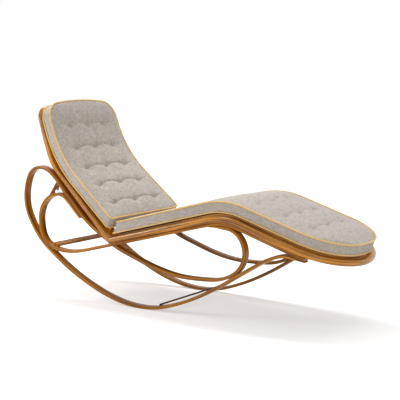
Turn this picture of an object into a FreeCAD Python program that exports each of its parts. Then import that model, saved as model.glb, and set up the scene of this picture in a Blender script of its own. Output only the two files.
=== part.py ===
import FreeCAD, Part
import math
import os

# Rocking chaise lounge in bent wood, in millimetres.
# X runs towards the foot end, Y to the sitter's left, Z up.
# The origin is on the floor, midway between the two runners, where they touch it.

# Base: two bent strips a side, set on edge to edge across the width
STRIP_T = 15.0            # thickness of a strip, across the bend
STRIP_W = 35.0            # width of a strip, along Y

# Seat and back frames
RAIL_H = 28.0             # height of the outer rails
BACK_RAIL_H = 26.5        # depth of the back's outer rail
RAIL_W = 32.0             # width of the outer rails
RAIL_ROUND = 13.0         # rounding of the outer edges
RING_H = 18.0             # height of the inner rings that carry the webbing
RING_W = 20.0             # width of the inner rings
RING_GAP = 0.2            # between outer rail and inner ring
RING_LIFT = 8.0           # top of the seat's inner ring above the outer rail
SEAT_WIDTH = 548.0        # over the seat's outer rails
BASE_WIDTH = SEAT_WIDTH - 33.0   # over the outer faces of the strips
TAIL = 40.0               # length of the rails beyond the hinge, before the mitre is sawn
SEAT_SLOPE = 14.3         # degrees the seat rises towards the knee
LEG_SLOPE = 17.6          # degrees the leg rest falls towards the foot
HINGE_X = -165.0          # where seat and back rails meet, at their top edge
HINGE_Z = 314.0
SEAT_LENGTH = 628.0       # from the hinge to the knee's corner
LEG_LENGTH = 588.0        # from the knee's corner to the tip of the outer rail
KNEE_R = 320.0            # bend radius of the rail's top edge at the knee
NOSE_R = SEAT_WIDTH / 2.0 - 32.0   # corner radius of the outer rail at the foot
NOSE_DEPTH = NOSE_R + 7.0   # length of the rounded foot end
BACK_SLOPE = 138.7        # heading of the back's lower, straight part
BACK_STRAIGHT = 390.0     # its length, from the hinge
BACK_BEND_R = 230.0       # the bend below the shoulders
BACK_BEND = 28.5          # degrees of that bend
BACK_TOP_R = 1500.0       # the gentle curve above it
BACK_TOP_LENGTH = 94.0
BACK_TOP_LINE = 142.0     # from there straight to the top edge
BACK_TAPER_R = 700.0      # bend in plan where the back stops narrowing
BACK_TOP_WIDTH = SEAT_WIDTH - 58.0   # over the back's outer rail at the top corners
BACK_CORNER_R = 100.0
BACK_ARCH_R = 2000.0
MITRE_GAP = 0.3           # from the mitre's plane to each frame
NOTCH_GAP = 1.0           # clearance of the frames round the runner strips
REST_GAP = 0.3            # between the runner and the front loop that springs back to it

# Webbing and cushions
WEB_T = 3.0
WEB_W = 46.0
WEB_PITCH = 62.0
SEAT_CUSHION = 50.0       # height of the cushions' sides
BACK_CUSHION = 52.0
BACK_CROWN = 16.0         # rise of the cushions' faces over their seams
SEAT_CROWN = 7.0
LEG_CROWN = 12.0
SIDE_BULGE = 4.0
SEAT_COVER = 4.8          # wall of each closed cover
BACK_COVER = 8.0
CUSHION_GAP = 0.8         # between cushion and webbing
SEAT_CUSHION_WIDTH = SEAT_WIDTH - 16.0
LEG_CUSHION_WIDTH = SEAT_WIDTH - 56.0
FOOT_MARGIN = 29.0        # from the rail's tip to the cushion's tip
BACK_CUSHION_LOW = SEAT_WIDTH - 14.0
BACK_CUSHION_TOP = BACK_TOP_WIDTH - 6.0
BACK_CUSHION_R = 88.0
TUFT_R = 24.0             # radius of each sewn tuft at the cushion's face
TUFT_DEPTH = 6.0

# Hinges, one towards each side
HINGE_Y = SEAT_WIDTH / 2.0 - 124.0   # middle of each hinge
HINGE_LONG = 60.0
KNUCKLE_R = 5.0
PIN_R = 2.5
PIN_FIT = 0.05
LEAF_T = 2.0
LEAF_DEPTH = 24.0
KNUCKLE_GAP = 0.2

# Notched racks that hold the back up, and the rod they catch on
RACK_X = -505.0           # pivot of the racks on the back frame
RACK_Z = 603.0
RACK_ANGLE = 54.6         # degrees the racks hang below the horizontal, to the rear
RACK_LONG = 165.0
RACK_W = 13.0
RACK_T = 10.0
RACK_Y = BACK_TOP_WIDTH / 2.0 - 69.0   # inner face of each rack
BARB_FIRST = 69.0         # along the rack, from the pivot to the first barb's tip
BARB_PITCH = 47.0
BARB_OUT = 21.0           # tips from the rack's centre line
BARBS = 3
RACK_PIN_R = 4.0
ROD_R = 5.0
ROD_ALONG = 47.0          # the rod's place along and beside the racks at rest
ROD_CLEAR = 1.0           # between the barbs' tips and the rod
PLATE_T = 3.0
PLATE_W = 24.0

# Cross members
STRETCHER_W = 30.0
STRETCHER_T = 12.0
STRETCHER_X = -525.0      # middle of the stretcher, on the small loops
STRETCHER_IN = 18.0       # its ends stop this far inside the strips' outer faces
TIE_R = 4.0
TIE_IN = 20.0
TIE_X = 100.0
CROSS_RAIL = 30.0         # depth of the cross rails at the hinge
BACK_RAIL_SIDE = 3.0      # from the back's outer rail to its cross rail

# Line of the back cushion's rear face, and the cushions' outlines
BACK_TRAVEL = 18.0        # degrees the back can be raised
BACK_LIFT = 21.0          # back cushion's rear face in front of the rail, at the hinge
PAD_SLOPE = 139.5
PAD_STRAIGHT = 317.0
PAD_R = 600.0
PAD_BEND = 30.0
PAD_TOP = 128.0
RING_RISE = 6.1           # its lower ends above the lower rail
RING_DOWN = 8.0          # top of the back's inner ring below the cushion's
PAD_ARCH = 9.0            # rise of the back cushion's top edge in the middle
PAD_SIDE = 0.3            # from the outer rail to the back's inner ring
SEAT_PAD_START = 31.0     # along the seat to the cushion's rear end
SEAT_PAD_LEAN = -30.0
BACK_PAD_START = 34.0
BACK_PAD_LEAN = 17.0
FOOT_DEPTH = NOSE_DEPTH - FOOT_MARGIN   # rounded foot end of the seat cushion
FOOT_POWER = 2.24         # power of its superellipse
END_ANGLE = 82.0          # degrees round a cushion's end at which its last row stands
ROW_STEP = 130.0          # between the rows of a cushion, and where it is bent
BENT_STEP = 30.0
TUFT_Y = SEAT_WIDTH / 2.0 - 144.0
SEAT_TUFTS = (150.0, 290.0, 430.0, 570.0, 710.0, 850.0, 990.0)
BACK_TUFTS = (115.0, 235.0, 355.0, 475.0, 595.0)
RACK_PLATE = 26.0         # between the ends' centres of a rack's bracket
ROD_PLATE_X = -486.0
STRAP_IN = 2.0            # from a strap's end to the inner ring's outer face
STRAP_FIRST = 12.0        # from a cross rail to the first strap
SEAT_STRAP_LAST = 25.0    # from the last strap to the rings' end bends
BACK_STRAP_LAST = 10.0
TAPER_EASE = 1.2          # length of the inner ring's taper bend over the outer rail's
HINGE_ROOM = 0.6          # round the knuckles
TAB_DEPTH = 1.5           # of a leaf's tab past its knuckle
BARB_BACK = 34.0          # a barb's start, shoulder and root, along the rack from its tip
BARB_SHOULDER = 5.0
BARB_ROOT = 15.0
BARB_NOSE = 2.0           # how far the tip lies inside the shoulder
SIDE_FIT = 0.5            # between a rack and the head or boss beside it
HEAD_T = 3.0              # head of the rack's pin
HEAD_OVER = 3.0           # its radius, and the boss's, over the pin's
BOSS_OVER = 2.5
WALL_FIT = 0.2            # between the inner ring and a rack's bracket
REACH = 400.0             # larger than any section that is sawn


def unit(heading):
    """Unit vector in the side view for a heading in degrees from +X towards +Z."""
    a = math.radians(heading)
    return (math.cos(a), math.sin(a))


def left(t):
    """The direction a quarter turn to the left of t."""
    return (-t[1], t[0])


def along(p, t, d):
    """The point a distance d from p in direction t."""
    return (p[0] + t[0] * d, p[1] + t[1] * d)


class Run:
    """One straight or circular stretch of a bent piece, in the side view."""

    def __init__(self, start, tangent, end):
        self.p = start
        self.t = tangent
        self.q = end
        wx = end[0] - start[0]
        wz = end[1] - start[1]
        n = left(tangent)
        side = n[0] * wx + n[1] * wz
        chord2 = wx * wx + wz * wz
        if abs(side) < 1e-7 * chord2:
            self.radius = None
            self.length = math.sqrt(chord2)
            self.turn = 0.0
        else:
            self.radius = chord2 / (2.0 * side)
            ahead = tangent[0] * wx + tangent[1] * wz
            self.turn = 2.0 * math.atan2(side, ahead)
            self.length = abs(self.radius * self.turn)

    def at(self, s):
        """Point and tangent at a distance s along the run."""
        if self.radius is None:
            return along(self.p, self.t, s), self.t
        a = s / self.radius
        n = left(self.t)
        x = self.radius * math.sin(a)
        y = self.radius * (1.0 - math.cos(a))
        p = (self.p[0] + self.t[0] * x + n[0] * y, self.p[1] + self.t[1] * x + n[1] * y)
        t = (self.t[0] * math.cos(a) + n[0] * math.sin(a),
             self.t[1] * math.cos(a) + n[1] * math.sin(a))
        return p, t

    def shifted(self, d):
        """The same run moved d to its left, as a concentric run."""
        end, t_end = self.at(self.length)
        return Run(along(self.p, left(self.t), d), self.t, along(self.q, left(t_end), d))

    def backwards(self):
        end, t_end = self.at(self.length)
        return Run(self.q, (-t_end[0], -t_end[1]), self.p)

    def part(self, s0, s1):
        a, t = self.at(s0)
        b, t_b = self.at(s1)
        return Run(a, t, b)

    def edge(self, y):
        a = FreeCAD.Vector(self.p[0], y, self.p[1])
        b = FreeCAD.Vector(self.q[0], y, self.q[1])
        if self.radius is None:
            return Part.LineSegment(a, b).toShape()
        m = self.at(self.length / 2.0)[0]
        return Part.Arc(a, FreeCAD.Vector(m[0], y, m[1]), b).toShape()


class Path:
    """A chain of runs that meet with a common tangent."""

    def __init__(self, runs):
        self.runs = [r for r in runs if r.length > 1e-6]

    def length(self):
        return sum(r.length for r in self.runs)

    def at(self, s):
        for r in self.runs:
            if s <= r.length + 1e-9:
                return r.at(s)
            s -= r.length
        return self.runs[-1].at(self.runs[-1].length + s)

    def shifted(self, d):
        return Path([r.shifted(d) for r in self.runs])

    def backwards(self):
        return Path([r.backwards() for r in reversed(self.runs)])

    def part(self, s0, s1):
        out = []
        start = 0.0
        for r in self.runs:
            a = max(s0, start) - start
            b = min(s1, start + r.length) - start
            if b > a + 1e-6:
                out.append(r.part(a, b))
            start += r.length
        return Path(out)

    def where_x(self, x, s0=0.0, s1=None):
        """Distance along the path, between s0 and s1, at which it crosses x."""
        s1 = self.length() if s1 is None else s1
        steps = 400
        last = self.at(s0)[0][0] - x
        for i in range(1, steps + 1):
            s = s0 + (s1 - s0) * i / steps
            now = self.at(s)[0][0] - x
            if last * now <= 0.0:
                lo = s - (s1 - s0) / steps
                hi = s
                for _ in range(50):
                    mid = (lo + hi) / 2.0
                    if (self.at(mid)[0][0] - x) * last > 0.0:
                        lo = mid
                    else:
                        hi = mid
                return (lo + hi) / 2.0
            last = now
        raise ValueError("the path does not reach x = %.1f" % x)

    def edges(self, y):
        return [r.edge(y) for r in self.runs]

    def __add__(self, other):
        return Path(self.runs + other.runs)


def bend(p0, t0, p1, t1):
    """Two tangent arcs from p0, heading t0, to p1, heading t1."""
    v = (p1[0] - p0[0], p1[1] - p0[1])
    vv = v[0] * v[0] + v[1] * v[1]
    t = (t0[0] + t1[0], t0[1] + t1[1])
    vt = v[0] * t[0] + v[1] * t[1]
    k = 2.0 * (1.0 - t0[0] * t1[0] - t0[1] * t1[1])
    if k < 1e-9:
        d = vv / (2.0 * vt)
    else:
        d = (-vt + math.sqrt(vt * vt + k * vv)) / k
    m = ((p0[0] + p1[0] + d * (t0[0] - t1[0])) / 2.0,
         (p0[1] + p1[1] + d * (t0[1] - t1[1])) / 2.0)
    first = Run(p0, t0, m)
    t_m = first.at(first.length)[1]
    return Path([first, Run(m, t_m, p1)])


def through(stations):
    """A path through stations of (point, tangent), two arcs between each pair."""
    path = Path([])
    for (p0, t0), (p1, t1) in zip(stations[:-1], stations[1:]):
        path = path + bend(p0, t0, p1, t1)
    return path


def slab(lower, upper, y0, width):
    """A flat strip between two matching edge paths, extruded along Y."""
    edges = lower.edges(y0)
    a = upper.at(upper.length())[0]
    b = lower.at(lower.length())[0]
    c = upper.at(0.0)[0]
    d = lower.at(0.0)[0]
    edges.append(Part.LineSegment(FreeCAD.Vector(b[0], y0, b[1]),
                                  FreeCAD.Vector(a[0], y0, a[1])).toShape())
    edges += upper.edges(y0)
    edges.append(Part.LineSegment(FreeCAD.Vector(c[0], y0, c[1]),
                                  FreeCAD.Vector(d[0], y0, d[1])).toShape())
    wire = Part.Wire(Part.__sortEdges__(edges))
    return Part.Face(wire).extrude(FreeCAD.Vector(0, width, 0))


def strip(path, y0):
    """A bent strip of even thickness about a centre line."""
    return slab(path.shifted(-STRIP_T / 2.0), path.shifted(STRIP_T / 2.0), y0, STRIP_W)


# Side view of the seat: the top edge of its outer rails, from hinge to foot
hinge = (HINGE_X, HINGE_Z)
t_seat = unit(SEAT_SLOPE)
t_leg = unit(-LEG_SLOPE)
knee = along(hinge, t_seat, SEAT_LENGTH)
knee_run = KNEE_R * math.tan(math.radians((SEAT_SLOPE + LEG_SLOPE) / 2.0))
knee_in = along(knee, t_seat, -knee_run)
knee_out = along(knee, t_leg, knee_run)
tip = along(knee, t_leg, LEG_LENGTH)
seat_line = Path([Run(hinge, t_seat, knee_in), Run(knee_in, t_seat, knee_out),
                  Run(knee_out, t_leg, tip)])

# Inner strip line: runs along the underside of the seat's rails
inner_line = seat_line.shifted(-RAIL_H - STRIP_T / 2.0)
# Where the runner's ends lap below the inner strip
lap_line = seat_line.shifted(-RAIL_H - STRIP_T * 1.5)

STRIP_END_X = 834.0       # both strips end together under the leg rest
FRONT_LAP_X = 786.0       # the runner leaves the inner strip here
KNEE_LAP_X = 462.0        # the front loop meets the inner strip here
KNEE_END_X = 372.0        # and ends here

# Stations of the runner strip, each a point and a heading, foot end to head end
RUNNER = [((624.0, 271.5), 210.5),
          ((297.0, 85.0), 205.0),
          ((0.0, 7.5), 180.0),
          ((-261.0, 62.0), 158.5),
          ((-475.0, 171.0), 147.0),
          ((-632.0, 301.0), 127.0),
          ((-698.5, 460.0), 90.0),
          ((-600.0, 612.5), 0.0),
          ((-480.0, 540.7), -49.0),
          ((-344.0, 402.5), -43.0),
          ((-173.0, 287.5), -30.0),
          ((4.5, 218.0), -18.5),
          ((262.0, 170.5), 0.0)]
FRONT_TOUCH_X = 500.0     # the front loop rests on the runner here
FRONT_LOOP = ((547.5, 305.0), 90.0)

REAR_LAP_X = (-342.0, -398.0)   # the inner strip is scarfed under the back run
REAR_TOUCH_X = -576.0           # the small loop touches the runner here
SMALL_TOP = ((-484.0, 489.5), 180.0)
SMALL_REAR = ((-605.5, 366.0), 270.0)
SMALL_FOOT = ((-446.0, 220.5), 0.0)
SEAT_JOIN_X = -320.0            # the inner strip runs straight from here


def station(row):
    return row[0], unit(row[1])


# Runner strip: front lap, runner, rear loop, back run, return and front loop
front_end = lap_line.where_x(STRIP_END_X)
front_lap = lap_line.where_x(FRONT_LAP_X)
front_tail = lap_line.part(front_lap, front_end).backwards()
leave_p, leave_t = front_tail.at(front_tail.length())
runner = front_tail + through([(leave_p, leave_t)] + [station(r) for r in RUNNER])
rest_p, rest_t = runner.at(runner.where_x(FRONT_TOUCH_X))
touch = along(rest_p, left(rest_t), -STRIP_T - REST_GAP)
knee_lap_p, knee_lap_t = lap_line.at(lap_line.where_x(KNEE_LAP_X))
runner = runner + through([station(RUNNER[-1]), (touch, (-rest_t[0], -rest_t[1])),
                           station(FRONT_LOOP),
                           (knee_lap_p, (-knee_lap_t[0], -knee_lap_t[1]))])
runner = runner + lap_line.part(lap_line.where_x(KNEE_END_X),
                                lap_line.where_x(KNEE_LAP_X)).backwards()

# Inner strip: scarf, small loop, then along the seat to the foot
loop_top = runner.where_x(RUNNER[7][0][0])
scarf_a = runner.where_x(REAR_LAP_X[1], loop_top)
scarf_b = runner.where_x(REAR_LAP_X[0], loop_top)
scarf = runner.part(scarf_a, scarf_b).shifted(-STRIP_T).backwards()
scarf_p, scarf_t = scarf.at(scarf.length())
loop_start = runner.where_x(RUNNER[4][0][0])
kiss_p, kiss_t = runner.at(runner.where_x(REAR_TOUCH_X, loop_start))
kiss = along(kiss_p, left(kiss_t), -STRIP_T)
start_p = along(inner_line.at(0.0)[0], t_seat, (SEAT_JOIN_X - inner_line.at(0.0)[0][0]) / t_seat[0])
inner = scarf + through([(scarf_p, scarf_t), station(SMALL_TOP), station(SMALL_REAR),
                         (kiss, (-kiss_t[0], -kiss_t[1])), station(SMALL_FOOT),
                         (start_p, t_seat)])
small_loop = inner.length()
inner = inner + Path([Run(start_p, t_seat, inner_line.at(0.0)[0])])
inner = inner + inner_line.part(0.0, inner_line.where_x(STRIP_END_X))

# Side view of the back: the front edge of its outer rail, from hinge to top
top_half = BACK_TOP_WIDTH / 2.0
lean = math.degrees(math.atan((SEAT_WIDTH / 2.0 - top_half) / BACK_STRAIGHT))
taper_run = BACK_TAPER_R * math.tan(math.radians(lean / 2.0))
t_back = unit(BACK_SLOPE)
bend_in = along(hinge, t_back, BACK_STRAIGHT + taper_run)
back_run = Run(hinge, t_back, bend_in)


def curve(p, t, radius, degrees):
    """An arc turning right from p, heading t, through an angle in degrees."""
    a = math.radians(degrees)
    x = radius * math.sin(a)
    y = -radius * (1.0 - math.cos(a))
    n = left(t)
    return Run(p, t, (p[0] + t[0] * x + n[0] * y, p[1] + t[1] * x + n[1] * y))


bend_run = curve(bend_in, t_back, BACK_BEND_R, BACK_BEND)
top_t = unit(BACK_SLOPE - BACK_BEND)
top_run = curve(bend_run.q, top_t, BACK_TOP_R, math.degrees(BACK_TOP_LENGTH / BACK_TOP_R))
top_corner, top_t = top_run.at(top_run.length)
back_line = Path([back_run, bend_run, top_run,
                  Run(top_corner, top_t, along(top_corner, top_t, BACK_TOP_LINE))])

# The mitre between the two frames runs down from the hinge, halfway between them
mitre = unit((SEAT_SLOPE + BACK_SLOPE) / 2.0 - 180.0)
mitre_seat = left(mitre)
mitre_back = (-mitre_seat[0], -mitre_seat[1])


def spot(p, y):
    return FreeCAD.Vector(p[0], y, p[1])


def swing(p, degrees):
    """A side-view point turned about the hinge, positive raising the back."""
    a = math.radians(-degrees)
    x = p[0] - hinge[0]
    z = p[1] - hinge[1]
    return (hinge[0] + x * math.cos(a) - z * math.sin(a),
            hinge[1] + x * math.sin(a) + z * math.cos(a))


def plate(points, y0, width):
    """A straight-sided outline in the side view, extruded along Y."""
    corners = [spot(p, y0) for p in points]
    face = Part.Face(Part.makePolygon(corners + [corners[0]]))
    return face.extrude(FreeCAD.Vector(0, width, 0))


def beyond_mitre(normal):
    """The half of space past the mitre's plane, less the gap, on one side."""
    a = along(hinge, mitre, -REACH)
    b = along(hinge, mitre, REACH)
    a = along(a, normal, MITRE_GAP)
    b = along(b, normal, MITRE_GAP)
    return plate([a, b, along(b, normal, -REACH), along(a, normal, -REACH)], -REACH, 2.0 * REACH)


def lead_in(path, extra):
    """The path with a straight start added before it."""
    p, t = path.at(0.0)
    return Path([Run(along(p, t, -extra), t, p)]) + path


half_seat = SEAT_WIDTH / 2.0
ring_inset = RAIL_W + RING_GAP
half_base = BASE_WIDTH / 2.0
sides = (("right", -1.0), ("left", 1.0))


def strip_y(sign):
    """Lower Y of the strips on one side."""
    return -half_base if sign < 0 else half_base - STRIP_W


def outboard(sign):
    """Lower Y of the outer half of a strip, where the inner strip runs whole."""
    return -half_base if sign < 0 else half_base - STRIP_W / 2.0


def inboard(sign):
    return -half_base + STRIP_W / 2.0 if sign < 0 else half_base - STRIP_W


# Side-view band of the runner strip where it passes the hinge, with clearance
pass_a = runner.where_x(-300.0, loop_top)
pass_b = runner.where_x(-60.0, loop_top)
crossing = runner.part(pass_a, pass_b)


def notch(angle, gap):
    """Room for the runner strips in a frame, with the back raised by an angle."""
    d = STRIP_T / 2.0 + gap
    out = []
    for sign in (-1.0, 1.0):
        body = slab(crossing.shifted(-d), crossing.shifted(d), strip_y(sign) - gap,
                    STRIP_W + 2.0 * gap)
        body.rotate(spot(hinge, 0), FreeCAD.Vector(0, 1, 0), -angle)
        out.append(body)
    return out


class Sweep:
    """Carries a section along lines and arcs in space and keeps each stretch.

    The section is drawn as (across, up): across points inboard, up to the front.
    """

    def __init__(self, start, tangent, up):
        self.p = start
        self.t = tangent
        self.up = up
        self.across = up.cross(tangent)
        if self.across.y < 0.0:
            self.across = self.across * -1.0
        self.moves = []

    def line(self, length):
        self.moves.append(("line", self.p, self.t, self.up, self.across, length, 0.0))
        self.p = self.p + self.t * length
        return self

    def arc(self, to_centre, radius, degrees):
        """Turn about a centre that lies to_centre * radius from the path."""
        centre = self.p + to_centre * radius
        axis = self.t.cross(to_centre)
        self.moves.append(("arc", self.p, self.t, self.up, self.across, centre, (axis, degrees)))
        turn = FreeCAD.Rotation(axis, degrees)
        self.p = centre + turn.multVec(self.p - centre)
        self.t = turn.multVec(self.t)
        self.up = turn.multVec(self.up)
        self.across = turn.multVec(self.across)
        return self

    def pitch(self, radius, degrees, forward):
        return self.arc(self.up * (1.0 if forward else -1.0), radius, degrees)

    def turn(self, radius, degrees, inward=True):
        return self.arc(self.across * (1.0 if inward else -1.0), radius, degrees)

    def body(self, section, skip=0):
        """Extrude and revolve the section along every stretch, then join them."""
        solids = []
        for kind, p, t, up, across, value, extra in self.moves[skip:]:
            face = section_face(section, p, across, up)
            if kind == "line":
                solids.append(face.extrude(t * value))
            else:
                solids.append(face.revolve(value, extra[0], extra[1]))
        return solids[0].multiFuse(solids[1:])


def section_face(section, p, across, up):
    """Face of a rounded four-sided section: (x0, x1, y0, y1, r at x0, r at x1)."""
    x0, x1, y0, y1, r0, r1 = section

    def put(x, y):
        return p + across * x + up * y

    k = math.sqrt(0.5)
    corners = [(x0, y0, 1, 1, r0), (x1, y0, -1, 1, r1), (x1, y1, -1, -1, r1), (x0, y1, 1, -1, r0)]
    edges = []
    ends = []
    for i, (x, y, sx, sy, r) in enumerate(corners):
        if r == 0.0:
            ends.append((put(x, y), put(x, y)))
            continue
        along_x = put(x + sx * r, y)
        along_y = put(x, y + sy * r)
        mid = put(x + sx * r * (1.0 - k), y + sy * r * (1.0 - k))
        first, last = (along_y, along_x) if i % 2 == 0 else (along_x, along_y)
        edges.append(Part.Arc(first, mid, last).toShape())
        ends.append((first, last))
    for i in range(4):
        a = ends[i][1]
        b = ends[(i + 1) % 4][0]
        edges.append(Part.LineSegment(a, b).toShape())
    return Part.Face(Part.Wire(Part.__sortEdges__(edges)))


def both_halves(half_body):
    other = half_body.mirror(FreeCAD.Vector(0, 0, 0), FreeCAD.Vector(0, 1, 0))
    return half_body.fuse(other).removeSplitter()


def trim_tail(body, cutters):
    for c in cutters:
        body = body.cut(c)
    return max(body.Solids, key=lambda b: b.Volume)


parts = {}

# Strips, half-lapped into each other where they cross below the hinge
for side, sign in sides:
    y0 = strip_y(sign)
    parts[side + "_runner_strip"] = strip(runner, y0)
    parts[side + "_inner_strip"] = strip(inner, y0)
d = STRIP_T / 2.0
cross_a = inner.where_x(-250.0, small_loop)
cross_b = inner.where_x(-90.0, small_loop)
passing = inner.part(cross_a, cross_b)
for side, sign in sides:
    lap_out = slab(passing.shifted(-d), passing.shifted(d), outboard(sign), STRIP_W / 2.0)
    lap_in = slab(crossing.shifted(-d), crossing.shifted(d), inboard(sign), STRIP_W / 2.0)
    name = side + "_runner_strip"
    parts[name] = parts[name].cut(lap_out)
    name = side + "_inner_strip"
    parts[name] = parts[name].cut(lap_in)

# Seat frame
tip_r = (NOSE_DEPTH ** 2 + half_seat ** 2 - 2.0 * half_seat * NOSE_R) / (2.0 * (NOSE_DEPTH - NOSE_R))
nose_turn = math.degrees(math.acos((half_seat - NOSE_R) / (tip_r - NOSE_R)))
seat_run = Sweep(spot(along(hinge, t_seat, -TAIL), -half_seat), spot(t_seat, 0.0),
                 spot(left(t_seat), 0.0))
seat_run.line(TAIL + SEAT_LENGTH - knee_run)
seat_run.pitch(KNEE_R, SEAT_SLOPE + LEG_SLOPE, False)
seat_run.line(LEG_LENGTH - knee_run - NOSE_DEPTH)
seat_run.turn(NOSE_R, nose_turn)
seat_run.turn(tip_r, 90.0 - nose_turn)
seat_rail = both_halves(seat_run.body((0.0, RAIL_W, -RAIL_H, 0.0, RAIL_ROUND, 0.0)))
seat_keep = beyond_mitre(mitre_seat)
seat_rail = trim_tail(seat_rail, [seat_keep] + notch(0.0, NOTCH_GAP))
parts["seat_outer_rail"] = seat_rail

cross_line = lead_in(seat_line, TAIL).part(0.0, TAIL + CROSS_RAIL)
cross_band = slab(cross_line.shifted(-RAIL_H), cross_line, -half_seat + RAIL_W,
                  SEAT_WIDTH - 2.0 * RAIL_W)
seat_cross = trim_tail(cross_band, [seat_keep] + notch(0.0, NOTCH_GAP))

ring_run = Sweep(spot(along(hinge, t_seat, CROSS_RAIL + RING_GAP), -half_seat), spot(t_seat, 0.0),
                 spot(left(t_seat), 0.0))
ring_run.line(SEAT_LENGTH - knee_run - CROSS_RAIL - RING_GAP)
ring_run.moves += seat_run.moves[1:]
parts["seat_inner_ring"] = both_halves(ring_run.body(
    (ring_inset, ring_inset + RING_W, RING_LIFT - RING_H, RING_LIFT, 0.0, 0.0)))


def foot_half(s):
    """Half width of the seat's outline at a distance along it."""
    u = s - (seat_line.length() - NOSE_DEPTH)
    if u <= 0.0:
        return half_seat
    if u <= NOSE_R * math.sin(math.radians(nose_turn)):
        return half_seat - NOSE_R + math.sqrt(NOSE_R ** 2 - u ** 2)
    return math.sqrt(max(0.0, tip_r ** 2 - (u - NOSE_DEPTH + tip_r) ** 2))


def straps(path, first, last, half_at, low):
    """Webbing straps across a frame, laid along its side-view path."""
    out = []
    s = first
    while s + WEB_W < last:
        half = min(half_at(s), half_at(s + WEB_W)) - ring_inset - STRAP_IN
        piece = path.part(s, s + WEB_W)
        out.append(slab(piece.shifted(low), piece.shifted(low + WEB_T), -half, 2.0 * half))
        s += WEB_PITCH
    return Part.Compound(out)


strap_first = CROSS_RAIL + STRAP_FIRST
strap_last = seat_line.length() - RAIL_W - RING_W - SEAT_STRAP_LAST
parts["seat_webbing"] = straps(seat_line, strap_first, strap_last, foot_half, RING_LIFT)

# Back frame


def narrowing(origin, t, start, degrees):
    """Sweep that starts along a heading t at one side and leans inboard."""
    run = Sweep(spot(along(origin, t, start), -half_seat), spot(t, 0.0),
                spot((-left(t)[0], -left(t)[1]), 0.0))
    tilt = FreeCAD.Rotation(run.up, degrees)
    if tilt.multVec(run.t).y < 0.0:
        tilt = FreeCAD.Rotation(run.up, -degrees)
    run.p = run.p + FreeCAD.Vector(0, start * math.tan(math.radians(degrees)), 0)
    run.t = tilt.multVec(run.t)
    run.across = tilt.multVec(run.across)
    return run


def close_top(run):
    """Round the top corner and run the flat arch up to the middle plane."""
    corner = math.acos((-run.p.y - BACK_CORNER_R) / (BACK_ARCH_R - BACK_CORNER_R))
    run.turn(BACK_CORNER_R, math.degrees(corner))
    return run.turn(BACK_ARCH_R, 90.0 - math.degrees(corner))


back_path = narrowing(hinge, t_back, -TAIL, lean)
back_path.line((BACK_STRAIGHT + TAIL) / math.cos(math.radians(lean)) - taper_run)
back_path.turn(BACK_TAPER_R, lean, False)
back_path.pitch(BACK_BEND_R, BACK_BEND, True)
back_path.pitch(BACK_TOP_R, math.degrees(BACK_TOP_LENGTH / BACK_TOP_R), True)
back_path.line(BACK_TOP_LINE - BACK_CORNER_R)
close_top(back_path)
back_rail = both_halves(back_path.body((0.0, RAIL_W, -BACK_RAIL_H, 0.0, RAIL_ROUND, 0.0)))


def back_half(s):
    return half_seat - (half_seat - top_half) * min(1.0, s / BACK_STRAIGHT)


back_keep = beyond_mitre(mitre_back)
turns = [0.0]
while turns[-1] < BACK_TRAVEL:
    turns.append(turns[-1] + BACK_TRAVEL / 5.0)
clear_back = []
for turn in turns:
    clear_back += notch(turn, NOTCH_GAP)
back_rail = trim_tail(back_rail, [back_keep] + clear_back)
parts["back_outer_rail"] = back_rail

cross_line = lead_in(back_line, TAIL).part(0.0, TAIL + CROSS_RAIL)
cross_half = half_seat - RAIL_W - BACK_RAIL_SIDE
cross_band = slab(cross_line, cross_line.shifted(BACK_RAIL_H), -cross_half, 2.0 * cross_half)
back_cross = trim_tail(cross_band, [back_keep] + clear_back)

# Line of the back cushion's rear face, which the back's inner ring follows
t_pad = unit(PAD_SLOPE)
pad_start = along(hinge, left(t_back), -BACK_LIFT)
pad_bend = along(pad_start, t_pad, PAD_STRAIGHT)
pad_arc = curve(pad_bend, t_pad, PAD_R, PAD_BEND)
pad_top = along(pad_arc.q, unit(PAD_SLOPE - PAD_BEND), PAD_TOP)
pad_line = Path([Run(pad_start, t_pad, pad_bend), pad_arc,
                 Run(pad_arc.q, unit(PAD_SLOPE - PAD_BEND), pad_top)])
under = CUSHION_GAP + WEB_T
taper_at = PAD_STRAIGHT - taper_run * TAPER_EASE
pad_lean = math.degrees(math.atan((half_seat - top_half) / taper_at))
pad_taper = PAD_STRAIGHT - taper_at
pad_taper_r = pad_taper / math.tan(math.radians(pad_lean / 2.0))
ring_start = CROSS_RAIL + RING_RISE
run = narrowing(pad_start, t_pad, ring_start, pad_lean)
run.line((taper_at - ring_start) / math.cos(math.radians(pad_lean)) - pad_taper)
run.turn(pad_taper_r, pad_lean, False)
run.pitch(PAD_R, PAD_BEND, True)
run.line(PAD_TOP - RING_DOWN - BACK_CORNER_R)
close_top(run)
side_gap = ring_inset + PAD_SIDE
parts["back_inner_ring"] = both_halves(run.body(
    (side_gap, side_gap + RING_W, -under - RING_H, -under, 0.0, 0.0)))
strap_last = pad_line.length() - RING_DOWN - RAIL_W - RING_W - BACK_STRAP_LAST
parts["back_webbing"] = straps(pad_line, strap_first, strap_last, back_half, CUSHION_GAP)


# Cushions: closed covers with boxed sides, crowned faces and sewn tufts
def cushion_section(p, up, half, low, high, rise, bulge):
    """One cross-section: flat underside, bulging sides and a crowned top."""
    def put(y, h):
        q = along(p, up, h)
        return FreeCAD.Vector(q[0], y, q[1])
    mid = (low + high) / 2.0
    edges = [Part.LineSegment(put(-half, low), put(half, low)).toShape(),
             Part.Arc(put(half, low), put(half + bulge, mid), put(half, high)).toShape(),
             Part.Arc(put(half, high), put(0, high + rise), put(-half, high)).toShape(),
             Part.Arc(put(-half, high), put(-half - bulge, mid), put(-half, low)).toShape()]
    return Part.Wire(edges)


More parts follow.
